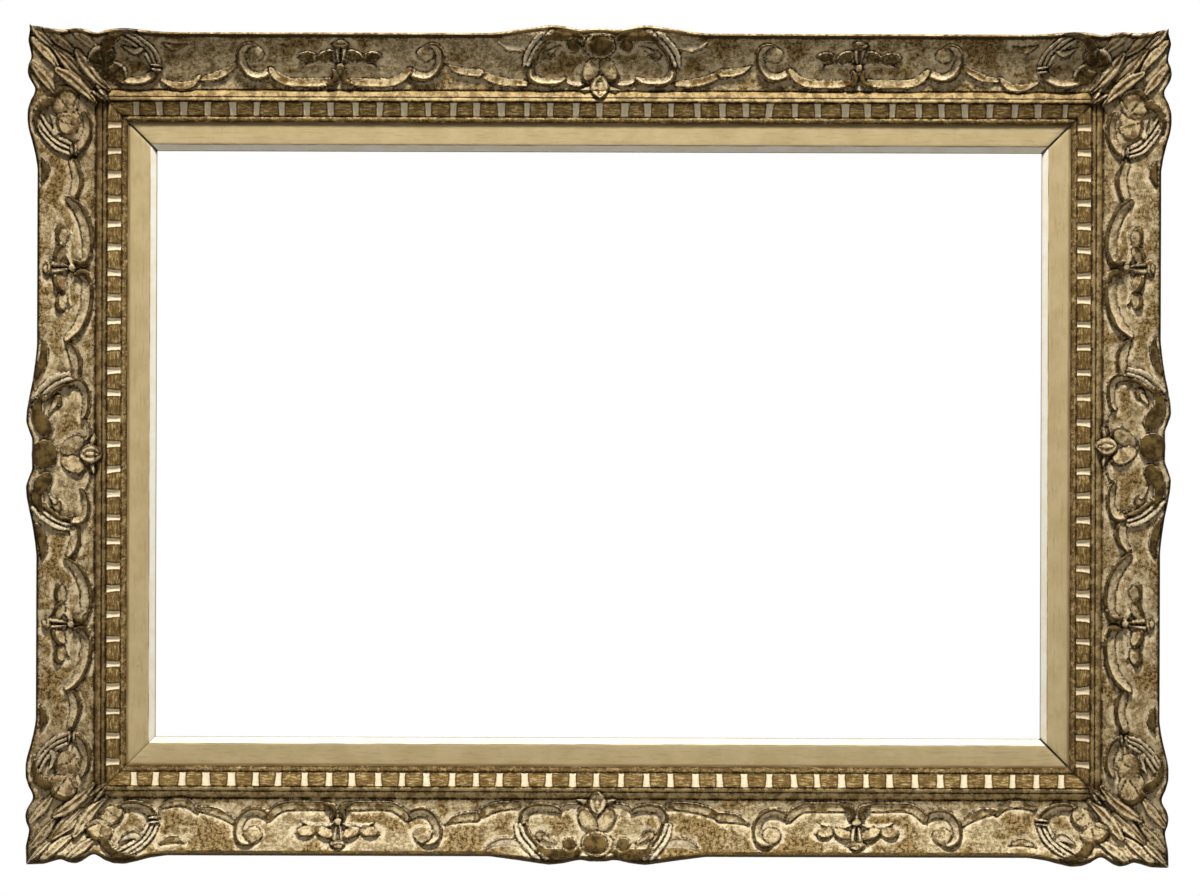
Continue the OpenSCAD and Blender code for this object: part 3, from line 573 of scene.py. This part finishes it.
def moulding_mesh(name, place, s, t, h, marks, angle):
    """A closed length of moulding: a grid folded round the section and put in its place on the frame, with
    its marks as attributes, then welded, capped at both mitres and smoothed up to an angle."""
    rows, columns = s.shape[0] - 1, s.shape[1] - 1
    bpy.ops.object.select_all(action="DESELECT")
    bpy.ops.mesh.primitive_grid_add(x_subdivisions=columns, y_subdivisions=rows, size=1, location=(0, 0, 0))
    piece = bpy.context.object
    piece.name = name
    flat = np.zeros(len(piece.data.vertices) * 3)
    piece.data.vertices.foreach_get("co", flat)
    x, y = flat[0::3], flat[1::3]
    at = np.rint((y + 0.5) * rows).astype(int), np.rint((x + 0.5) * columns).astype(int)
    put = np.stack(place(s[at], t[at], h[at]), 1) / 1000.0
    piece.data.vertices.foreach_set("co", put.ravel())
    for key, values in marks.items():
        layer = piece.data.attributes.new(key, "FLOAT", "POINT")
        layer.data.foreach_set("value", values[at].astype(np.float32))
    bpy.ops.object.mode_set(mode="EDIT")
    edit = bpy.ops.mesh
    edit.select_all(action="SELECT")
    edit.remove_doubles(threshold=0.00001)
    edit.select_all(action="DESELECT")
    edit.select_mode(type="EDGE")
    edit.select_non_manifold(extend=False, use_wire=False, use_boundary=True, use_multi_face=False,
                             use_non_contiguous=False, use_verts=False)
    edit.fill_holes(sides=0)
    edit.select_all(action="SELECT")
    edit.normals_make_consistent(inside=False)
    edit.select_all(action="DESELECT")
    edit.select_mode(type="VERT")
    bpy.ops.object.mode_set(mode="OBJECT")
    bpy.ops.object.shade_smooth_by_angle(angle=math.radians(angle))
    return piece


def carved_rail(name, node, place, long, seed, tone, glaze, lift, painted_crest_highlight, drift, squeezes, cracks,
                swells, tips, painted_corner_shades):
    """Lays the grid, carves the pattern, marks the finish and puts the rail in its place.

    seed sets the rail's own unevenness. tone is painted shade over its whole finish, set for each rail by how
    the light falls on it; glaze is how much darker its bead is, lift how much paler its frieze, and drift how
    far its pattern is off the middle. The crest width is that of a pale line painted along the crest as
    highlight. The pairs are for its two ends: how far the centre ornament is squeezed, the width of the
    mitre's crack, the swell and tip of the corner, and how much painted shade darkens it towards the corner."""
    half, columns = (half_long, 830) if long else (half_short, 620)
    rows = section_rows()
    top = np.array([part in ("outer", "front") for part, value in rows])
    face = np.repeat(top[:, None], columns + 1, axis=1)
    s, t, edge = rail_grid(rows, columns, half, long, drift, swells, tips)

    # the carving, drawn on the rail with a slow drift both ways and moved a little inwards by the crest
    inward_shift = 2.2 if long else 0.9
    drawn_s = s - centre_drift(s, drift) + wobble(s, t, seed, 1.1)
    drawn_t = t + wobble(t + 40, s, seed + 7, 0.5) * ease(0, 12, t) * ease(50, 42, t)
    drawn_t = drawn_t - inward_shift * ease(34, 5, t)
    # on a rail with a painted crest highlight, the petals' rims get painted highlights as well
    board = Board(drawn_s[top], drawn_t[top], section_height(t[top]), painted_crest_highlight > 0)
    carve_pattern(board, half, long, squeezes)
    h = np.zeros_like(s)
    h[top] = board.h
    marks = {}
    for key, value in bare_marks.items():
        marks[key] = np.full_like(s, value)
        marks[key][top] = board.marks[key]

    # the outer lip: softly rounded, its edge rubbed dark, but for a pale line along the crest that is painted
    # highlight
    from_lip = t - edge
    rubbed_w = 4.6 if long else 1.8
    h = np.where(face, h - lip_drop * (1 - np.clip(from_lip / lip_round, 0, 1)) ** 2, h)
    rubbed = np.where(face & (from_lip > painted_crest_highlight), rubbed_w - from_lip, bare_marks["dark"])
    marks["dark"] = np.maximum(marks["dark"], rubbed)

    # dark lines: along the lip and in the section's sharp corners, partly glaze and partly painted shade, and
    # in the open mitres
    mitre = (half - t - mitre_crack - np.abs(s)) / math.sqrt(2)
    crack_w = np.maximum(1.7 * np.where(s < 0, *cracks), 0.1)
    plain = face & (marks["near"] > 0)
    lines = [(face, np.abs(from_lip - 1.3 - 1.6 * painted_crest_highlight) * 0.4)]
    lines += [(plain, np.abs(t - line_t) * narrow) for line_t, narrow in glaze_and_shade_lines]
    lines += [(face & (t > 40), np.clip(mitre, 0, 9) / crack_w)]
    for where, distance in lines:
        marks["line"] = np.where(where, np.minimum(marks["line"], distance), marks["line"])

    # the tone: the rail's painted shade, the glaze on its bead, the lift of its frieze and the painted shade
    # towards its corners; and the places that the finish follows, far apart so that no two rails share their
    # wear
    on_bead = ease(50, 51.5, t) * ease(frieze_t + 1, frieze_t, t)
    past_bead = ease(frieze_t, frieze_t + 1, t)
    # painted shade, darkening the rail towards each corner, most at the top left
    painted_corner_shade = np.where(s < 0, *painted_corner_shades) * ease(half - 190, half - 70, np.abs(s))
    marks["tone"] = tone * (1 - glaze * on_bead) * (1 + lift * past_bead) * (1 - painted_corner_shade)
    marks["across"] = t
    marks["raw"] = np.where(face, 0.0, 1.0)
    marks["along"] = s + seed * 1000.0

    # gouge cuts of the frieze, and the faint swell of the wood between them
    frieze = (t > frieze_t - 0.1) & (t < frieze_t + frieze_w + 0.1) & face
    flute = flute_distance(s, t, half, seed + 3)
    cut = np.clip(-flute / (flute_w / 2), 0, 1)
    h = np.where(frieze, h - flute_d * dome(1 - cut), h)
    h = np.where(frieze & (flute > 0), h + 0.45 * np.clip(flute / 8, 0, 1) - 0.25, h)
    marks["flute"] = np.where(frieze, flute, 9.0)

    # slow unevenness of the hand-scraped gesso, then the plain sides of the section
    uneven = wobble(s * 3.1, t * 2.3, seed + 11, 0.16) + wobble(s * 7.7, t * 5.3, seed + 12, 0.1)
    h = np.minimum(np.where(face, h + uneven, h), height_limit)
    for i, (part, value) in enumerate(rows):
        if not top[i]:
            h[i] = {"side": value, "back": back_h, "lip": lip_h}[part]
    rail = moulding_mesh(name, place, s, t, h, marks, 50)
    rail.data.materials.append(old_gilt)
    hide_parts(node)
    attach(rail, "frame")


def srgb(*parts):
    """A colour given by its 8-bit red, green and blue, as the linear colour that a shader takes."""
    linear = [((v / 255 + 0.055) / 1.055) ** 2.4 if v > 10 else v / 255 / 12.92 for v in parts]
    return (*linear, 1.0)


class Finish:
    """Builds up a shader tree: each step adds one node and gives back what it puts out."""

    def __init__(self, tree):
        self.tree = tree

    def feed(self, value, socket):
        """Links what a node puts out to a socket, or sets the socket to a plain value."""
        if isinstance(value, bpy.types.NodeSocket):
            self.tree.links.new(value, socket)
        else:
            socket.default_value = value

    def feed_all(self, inputs, feeds):
        for key, value in feeds.items():
            self.feed(value, inputs[key])

    def node(self, kind, feeds):
        made = self.tree.nodes.new(kind)
        count = len(self.tree.nodes)
        made.location = (220 * (count % 16), -280 * (count // 16))
        self.feed_all(made.inputs, feeds)
        return made

    def attribute(self, name):
        made = self.node("ShaderNodeAttribute", {})
        made.attribute_name = name
        return made.outputs["Fac"]

    def drawn_out(self, place, share):
        """The same place with its first axis drawn out, for a grain that runs along it."""
        feeds = {"Vector": place, "Scale": (share, 1.0, 1.0)}
        return self.node("ShaderNodeMapping", feeds).outputs["Vector"]

    def noise(self, place, scale, detail, rough):
        feeds = {"Vector": place, "Scale": scale, "Detail": detail, "Roughness": rough}
        return self.node("ShaderNodeTexNoise", feeds).outputs["Fac"]

    def remap(self, value, a, b, c=0, d=1):
        """Goes softly from c to d while the value goes from a to b."""
        feeds = {"Value": value, "From Min": a, "From Max": b, "To Min": c, "To Max": d}
        made = self.node("ShaderNodeMapRange", feeds)
        made.interpolation_type = "SMOOTHSTEP"
        return made.outputs["Result"]

    def math(self, operation, a, b=0.0):
        made = self.node("ShaderNodeMath", {0: a, 1: b})
        made.operation = operation
        return made.outputs["Value"]

    def add(self, a, b):
        return self.math("ADD", a, b)

    def less(self, a, b):
        return self.math("SUBTRACT", a, b)

    def times(self, a, b):
        return self.math("MULTIPLY", a, b)

    def blend(self, share, a, b, mode="MIX"):
        made = self.node("ShaderNodeMix", {})
        made.data_type = "RGBA"
        made.blend_type = mode
        for key, value in (("Factor", share), ("A", a), ("B", b)):
            self.feed(value, [i for i in made.inputs if i.name == key and i.enabled][0])
        return [o for o in made.outputs if o.enabled][0]

    def ramp(self, value, stops):
        made = self.node("ShaderNodeValToRGB", {"Fac": value})
        while len(made.color_ramp.elements) < len(stops):
            made.color_ramp.elements.new(0.5)
        for element, (place, colour) in zip(made.color_ramp.elements, stops):
            element.position = place
            element.color = colour
        return made.outputs["Color"]

    def bump(self, height, strength, distance):
        feeds = {"Height": height, "Strength": strength, "Distance": distance}
        return self.node("ShaderNodeBump", feeds).outputs["Normal"]

    def moulding_place(self):
        """The place on a moulding in metres: its first axis runs along the piece, its second across."""
        along, across = (self.times(self.attribute(name), 0.001) for name in ("along", "across"))
        return self.node("ShaderNodeCombineXYZ", {"X": along, "Y": across}).outputs["Vector"]


def new_material(name):
    """A new material, with the steps that build up its finish and the inputs of its surface."""
    made = bpy.data.materials.new(name)
    made.use_nodes = True
    return made, Finish(made.node_tree), made.node_tree.nodes["Principled BSDF"].inputs


# The old finish of all the carved wood, as one group. It reads the marks that the carving leaves: how
# near a form, a V-cut or a gouge cut is, what is rubbed brown or pale, the tone that carries the painted
# shade, and where the wood is bare.
mark_names = ("Dark", "Cream", "Line", "Near", "Flute", "Across", "Raw", "Tone")
pale_leaf = srgb(250, 238, 210)
patina = bpy.data.node_groups.new("old_gilt_patina", "ShaderNodeTree")
patina.interface.new_socket("Place", in_out="INPUT", socket_type="NodeSocketVector")
for label in mark_names:
    patina.interface.new_socket(label, in_out="INPUT", socket_type="NodeSocketFloat")
patina.interface.new_socket("Color", in_out="OUTPUT", socket_type="NodeSocketColor")
for label in ("Roughness", "Height"):
    patina.interface.new_socket(label, in_out="OUTPUT", socket_type="NodeSocketFloat")
gilt = Finish(patina)
mark = gilt.node("NodeGroupInput", {}).outputs
noise, remap, blend = gilt.noise, gilt.remap, gilt.blend
add, less, times = gilt.add, gilt.less, gilt.times
streak = noise(gilt.drawn_out(mark["Place"], 0.22), 620, 4, 0.7)
patches = noise(mark["Place"], 22, 4, 0.6)
mottle = noise(mark["Place"], 110, 5, 0.65)
grit = noise(mark["Place"], 300, 6, 0.85)
fine = noise(mark["Place"], 1100, 2, 0.6)
jag = noise(mark["Place"], 420, 3, 0.6)
jitter = times(less(jag, 0.5), 2.4)
wide_jitter = add(times(less(mottle, 0.5), 11.0), times(jitter, 2.2))

# the ground: greige and ochre, punched rough and dark away from the forms, smooth cream beside them
ground = blend(remap(patches, 0.45, 0.55), srgb(226, 209, 170), srgb(186, 160, 112))
ground = blend(remap(mottle, 0.51, 0.6, 0, 0.6), ground, srgb(132, 108, 62))
ground = blend(remap(streak, 0.51, 0.58, 0, 0.45), ground, srgb(142, 116, 66))
far = remap(add(mark["Near"], wide_jitter), 1.5, 8.0, 0.25, 1)
punched = times(far, remap(grit, 0.475, 0.535))
punched = times(punched, remap(patches, 0.44, 0.54, 0.62, 1))
ground = blend(punched, ground, srgb(74, 54, 20))
beside = remap(add(mark["Near"], times(wide_jitter, 1.9)), 1.6, 4.6, 0.75, 0)
ground = blend(beside, ground, srgb(248, 235, 204))

# the body of the forms
body = blend(remap(mottle, 0.42, 0.56), srgb(128, 100, 52), srgb(228, 209, 166))
pale_body = remap(add(mark["Cream"], times(jitter, 0.3)), 0.35, 1.0, 0, 0.9)
body = blend(pale_body, body, pale_leaf)
body = blend(remap(grit, 0.52, 0.58, 0, 0.7), body, srgb(98, 76, 38))
on_form = remap(mark["Near"], 0.0, 0.25, 1, 0)
base = blend(on_form, ground, body)

# the straight mouldings, 50 to 82 mm in: bead, frieze and fillet, with their own wear and dirt; the
# ramp's darkest steps, in the grooves and towards the inner edge, are partly glaze and partly painted shade
span = gilt.math("DIVIDE", less(mark["Across"], 50.0), 32.0)
bands = gilt.ramp(span, ((0.0, srgb(190, 168, 122)), (0.05, srgb(150, 122, 70)), (0.10, srgb(186, 160, 108)),
                         (0.21, srgb(206, 187, 144)), (0.235, srgb(100, 78, 38)), (0.28, srgb(204, 185, 140)),
                         (0.34, srgb(176, 150, 98)), (0.38, srgb(130, 105, 57)), (0.70, srgb(138, 113, 63)),
                         (0.745, srgb(84, 62, 26)), (0.80, srgb(196, 170, 122)), (0.87, srgb(150, 124, 74)),
                         (1.0, srgb(90, 68, 32))))
past_ridge = remap(mark["Across"], frieze_t - 0.3, frieze_t + 0.3)
in_frieze = times(past_ridge, remap(mark["Across"], 74.4, 73.8))
plain = times(remap(mark["Across"], 50.6, 51.8), less(1.0, on_form))
base = blend(plain, base, bands)
pale_wear = remap(add(times(streak, 0.7), times(grit, 0.3)), 0.50, 0.56, 0, 0.6)
base = blend(times(plain, pale_wear), base, srgb(228, 206, 156))
frieze_dirt = times(times(plain, in_frieze), remap(streak, 0.47, 0.41, 0, 0.6))
base = blend(frieze_dirt, base, srgb(78, 56, 20))
dark_wear = remap(add(times(mottle, 0.6), times(grit, 0.4)), 0.48, 0.53, 0, 0.65)
base = blend(times(plain, dark_wear), base, srgb(96, 70, 32))
fillet_dots = times(remap(mark["Across"], 74.6, 75.4), remap(grit, 0.48, 0.53, 0, 0.8))
base = blend(fillet_dots, base, srgb(84, 62, 28))

# rubbed brown parts, V-cuts darkened partly with dirt and partly as painted shade, gouge cuts with
# painted shade along their sides, and specks
rubbed = remap(add(mark["Dark"], jitter), -0.35, 0.35, 0, 0.95)
rubbed_tone = blend(remap(mottle, 0.40, 0.62), srgb(50, 34, 8), srgb(110, 88, 39))
base = blend(rubbed, base, rubbed_tone)
cut_dirt_and_shade = remap(add(mark["Line"], times(jitter, 1.2)), 0.3, 0.8, 0.95, 0)
base = blend(times(cut_dirt_and_shade, remap(mottle, 0.38, 0.52, 0.2, 1)), base, srgb(52, 36, 12))
flute_shade = gilt.math("ABSOLUTE", less(mark["Flute"], 0.9))
base = blend(times(in_frieze, remap(flute_shade, 0.3, 0.9, 0.7, 0)), base, srgb(70, 50, 18))
flute = remap(add(mark["Flute"], times(jitter, 0.5)), -0.3, 0.25, 0.95, 0)
base = blend(flute, base, pale_leaf)
base = blend(remap(fine, 0.6, 0.7, 0, 0.4), base, srgb(66, 46, 16))

# the rail's tone, mostly painted shade, a little warmer where it is darker, and bare grained wood on the back
shade = {}
for key, power, gain in (("Red", 1.0, 1.14), ("Green", 1.15, 1.09), ("Blue", 1.35, 0.99)):
    shade[key] = times(gilt.math("POWER", mark["Tone"], power), gain)
base = blend(1.0, base, gilt.node("ShaderNodeCombineColor", shade).outputs["Color"], "MULTIPLY")
grain = noise(gilt.drawn_out(mark["Place"], 0.035), 210, 5, 0.7)
wood = blend(remap(patches, 0.38, 0.62), srgb(168, 138, 96), srgb(190, 162, 118))
wood = blend(remap(grain, 0.48, 0.62, 0, 0.75), wood, srgb(118, 90, 56))
gilt.node("NodeGroupOutput", {
    "Color": blend(mark["Raw"], base, wood),
    "Roughness": remap(less(mottle, times(rubbed, 0.2)), 0.2, 0.7, 0.36, 0.7),
    "Height": add(times(grit, 0.8), times(mottle, 0.9))})


def gilded(name):
    """Old gilded wood: the patina group on a dull surface with a warm sheen."""
    made, finish, surface = new_material(name)
    old = finish.node("ShaderNodeGroup", {})
    old.node_tree = patina
    finish.feed(finish.moulding_place(), old.inputs["Place"])
    for key in mark_names:
        finish.feed(finish.attribute(key.lower()), old.inputs[key])
    finish.feed_all(surface, {
        "Base Color": old.outputs["Color"], "Roughness": old.outputs["Roughness"],
        "Normal": finish.bump(old.outputs["Height"], 0.8, 0.0022),
        "Specular IOR Level": 0.3, "Specular Tint": (1.0, 0.82, 0.5, 1)})
    return made


# where a spot of a rail or of a liner length lies on each side of the frame, as x, y and z in mm
def on_bottom(s, t, h):
    return s, -h, t - half_short


def on_top(s, t, h):
    return -s, -h, half_short - t


def on_left(s, t, h):
    return t - half_long, -h, -s


def on_right(s, t, h):
    return half_long - t, -h, s


old_gilt = gilded("old_gilt")
# Each rail's tone and the darkening at its ends are painted shade: the top and side rails are darker than the
# bottom, and the top-left corner is darkest. The pale line along the top rail's crest is painted highlight.
carved_rail("bottom_rail_carved", "rail_bottom", on_bottom, True, seed=11, tone=1.0, glaze=0, lift=0.02,
            painted_crest_highlight=0, drift=0, squeezes=(0.97, 0.88), cracks=(0.3, 1.5), swells=(1.15, 1.15),
            tips=(-8.5, -8.5), painted_corner_shades=(0.08, 0.08))
carved_rail("top_rail_carved", "rail_top", on_top, True, seed=23, tone=0.88, glaze=0, lift=0.2,
            painted_crest_highlight=1.5, drift=0, squeezes=(0.95, 0.9), cracks=(1.3, 1.5), swells=(0.35, 0.5),
            tips=(-4.6, -5.4), painted_corner_shades=(0.2, 0.32))
carved_rail("left_rail_carved", "rail_left", on_left, False, seed=37, tone=0.8, glaze=0.35, lift=0.14,
            painted_crest_highlight=0, drift=10, squeezes=(0.93, 0.93), cracks=(1.5, 0.3), swells=(1.0, 1.0),
            tips=(-7.2, -8.4), painted_corner_shades=(0.32, 0.08))
carved_rail("right_rail_carved", "rail_right", on_right, False, seed=51, tone=0.79, glaze=0.1, lift=0.02,
            painted_crest_highlight=0, drift=0, squeezes=(0.93, 0.93), cracks=(1.3, 1.5), swells=(0.9, 1.0),
            tips=(-8.4, -6.0), painted_corner_shades=(0.08, 0.16))

# The liner
# Four lengths of a flat pine moulding with a bevel at the sight edge, painted parchment yellow with a
# cream bevel. They are mitred, tucked under the rails' lip and pinned there, their arrises worn round.
liner_section = [(t, 18.0) for t in range(74, 99, 4)]
liner_section += [(99.4, 17.95), (99.9, 17.75), (100.3, 17.4), (102.0, 16.0), (104.0, 14.35), (105.4, 13.25),
                  (105.8, 12.8), (106.0, 12.3), (106.0, 10.0), (98.0, 10.0), (98.0, 2.0), (90.0, 2.0),
                  (82.0, 2.0), (74.0, 2.0), (74.0, 18.0)]
liner_face_h = 10.5
liner_bevel_t, liner_edge_t = 100.0, 105.3
liner_tight, liner_crack = 0.3, 0.9


def painted(name):
    """Old parchment paint with a cream bevel, darkened beside the rails' lip and soiled along the arris and
    in the mitres.
    """
    made, paint, surface = new_material(name)
    place = paint.moulding_place()
    brushed = paint.drawn_out(place, 0.12)
    cloud = paint.noise(place, 34, 5, 0.62)
    strokes = paint.noise(brushed, 420, 4, 0.6)
    spots = paint.noise(place, 260, 3, 0.55)
    soil = paint.noise(brushed, 160, 4, 0.6)
    across = paint.attribute("across")

    # the flat: two yellows, brush strokes, spots, and a darkening beside the rails' lip
    tone = paint.blend(paint.remap(cloud, 0.35, 0.65), srgb(190, 168, 120), srgb(202, 180, 134))
    tone = paint.blend(paint.remap(strokes, 0.52, 0.68, 0, 0.45), tone, srgb(168, 142, 96))
    tone = paint.blend(paint.remap(spots, 0.66, 0.76, 0, 0.5), tone, srgb(140, 112, 70))
    by_lip = paint.times(paint.remap(across, 80.6, 83.4, 1, 0), paint.remap(soil, 0.3, 0.6, 0.5, 1))
    tone = paint.blend(by_lip, tone, srgb(120, 96, 56))

    # the bevel, its worn arris, its lower edge, and the mitres
    on_bevel = paint.add(across, paint.times(soil, 0.5))
    on_bevel = paint.remap(on_bevel, liner_bevel_t + 0.1, liner_bevel_t + 0.5)
    cream = paint.blend(paint.remap(cloud, 0.4, 0.6), srgb(250, 244, 226), srgb(244, 234, 208))
    tone = paint.blend(on_bevel, tone, cream)
    arris = paint.math("ABSOLUTE", paint.less(across, liner_bevel_t))
    worn = paint.times(paint.remap(arris, 0.1, 0.6, 0.8, 0), paint.remap(soil, 0.42, 0.56, 0.15, 1))
    tone = paint.blend(worn, tone, srgb(110, 84, 44))
    low_edge = paint.remap(across, liner_edge_t, liner_edge_t + 0.3, 0, 0.75)
    tone = paint.blend(low_edge, tone, srgb(120, 106, 80))
    in_mitre = paint.remap(paint.attribute("mitre"), 0.3, 1.2, 0.85, 0)
    tone = paint.blend(in_mitre, tone, srgb(60, 44, 20))
    paint.feed_all(surface, {"Base Color": tone, "Normal": paint.bump(strokes, 0.25, 0.0004),
                             "Roughness": 0.6, "Specular IOR Level": 0.3})
    return made


def liner_length(name, node, place, half, cracks):
    """One length, with the width of the open mitre at its two ends; a tight one has no dirt in it."""
    ring = np.array(liner_section)
    u = np.repeat(np.linspace(-1, 1, 241)[None, :], len(ring), axis=0)
    t, h = ring[:, :1] + 0 * u, ring[:, 1:] + 0 * u
    gap = np.where(u < 0, *cracks)
    shown = h > liner_face_h
    s = u * (half - t - np.where(shown, gap, mitre_closed))
    from_end = (1 - np.abs(u)) * half
    # a slight droop of the arris at the mitres, and the moulding's faint unevenness
    droop = 0.5 * np.clip(1 - from_end / 2.5, 0, 1) ** 2
    h = h - np.where(shown, droop + 0.06 * np.sin(s / 37.0) * np.sin(t / 5.0), 0)
    marks = {"across": t, "along": s + half * 7, "mitre": from_end + np.where(gap < liner_crack, 1.0, 0)}
    piece = moulding_mesh(name, place, s, t, h, marks, 28)
    piece.data.materials.append(liner_paint)
    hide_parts(node)
    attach(piece, "frame")


liner_paint = painted("liner_paint")
liner_length("bottom_liner_painted", "liner_bottom", on_bottom, half_long, (liner_tight, liner_crack))
liner_length("top_liner_painted", "liner_top", on_top, half_long, (liner_crack, liner_crack))
liner_length("left_liner_painted", "liner_left", on_left, half_short, (liner_crack, liner_tight))
liner_length("right_liner_painted", "liner_right", on_right, half_short, (liner_crack, liner_crack))


# The dovetail keys
# Four keys of a harder wood, glued into slots across the mitres on the back so that the corners can't
# open. They show as the solids are built, in plain wood that has gone dull.
def dulled(name, colour, metal, rough):
    """Gives a CAD node its own finish: a colour that is dulled unevenly, and how metallic and rough it is."""
    made, finish, surface = new_material(name + "_finish")
    place = finish.node("ShaderNodeTexCoord", {}).outputs["Object"]
    clean = finish.remap(finish.noise(place, 300, 4, 0.6), 0.35, 0.65)
    dirty = srgb(*[int(value * 0.72) for value in colour])
    finish.feed_all(surface, {"Base Color": finish.blend(clean, dirty, srgb(*colour)),
                              "Metallic": metal, "Roughness": rough})
    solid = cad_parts[name]
    solid.data.materials.clear()
    solid.data.materials.append(made)


for corner in ("top_left", "top_right", "bottom_left", "bottom_right"):
    dulled("key_" + corner, (150, 112, 66), 0.0, 0.6)

# The strips and brads
# Waved steel strips driven across the liner's four mitres on its back, and steel brads through the
# liner into the rails' rabbet all round. Both are dull grey.
dulled("liner_strips", (150, 150, 150), 0.9, 0.45)
dulled("liner_brads", (140, 140, 140), 0.9, 0.45)

# The hangers
# A brassed strap with a rolled eye on each side rail's back, held by two round-headed steel screws,
# with a ring of brassed wire that swings in the eye.
for side in ("left", "right"):
    dulled("hanger_screws_" + side, (150, 148, 140), 0.9, 0.4)
    dulled("hanger_strap_" + side, (176, 142, 78), 0.9, 0.4)
    dulled("hanger_ring_" + side, (182, 148, 84), 0.9, 0.35)
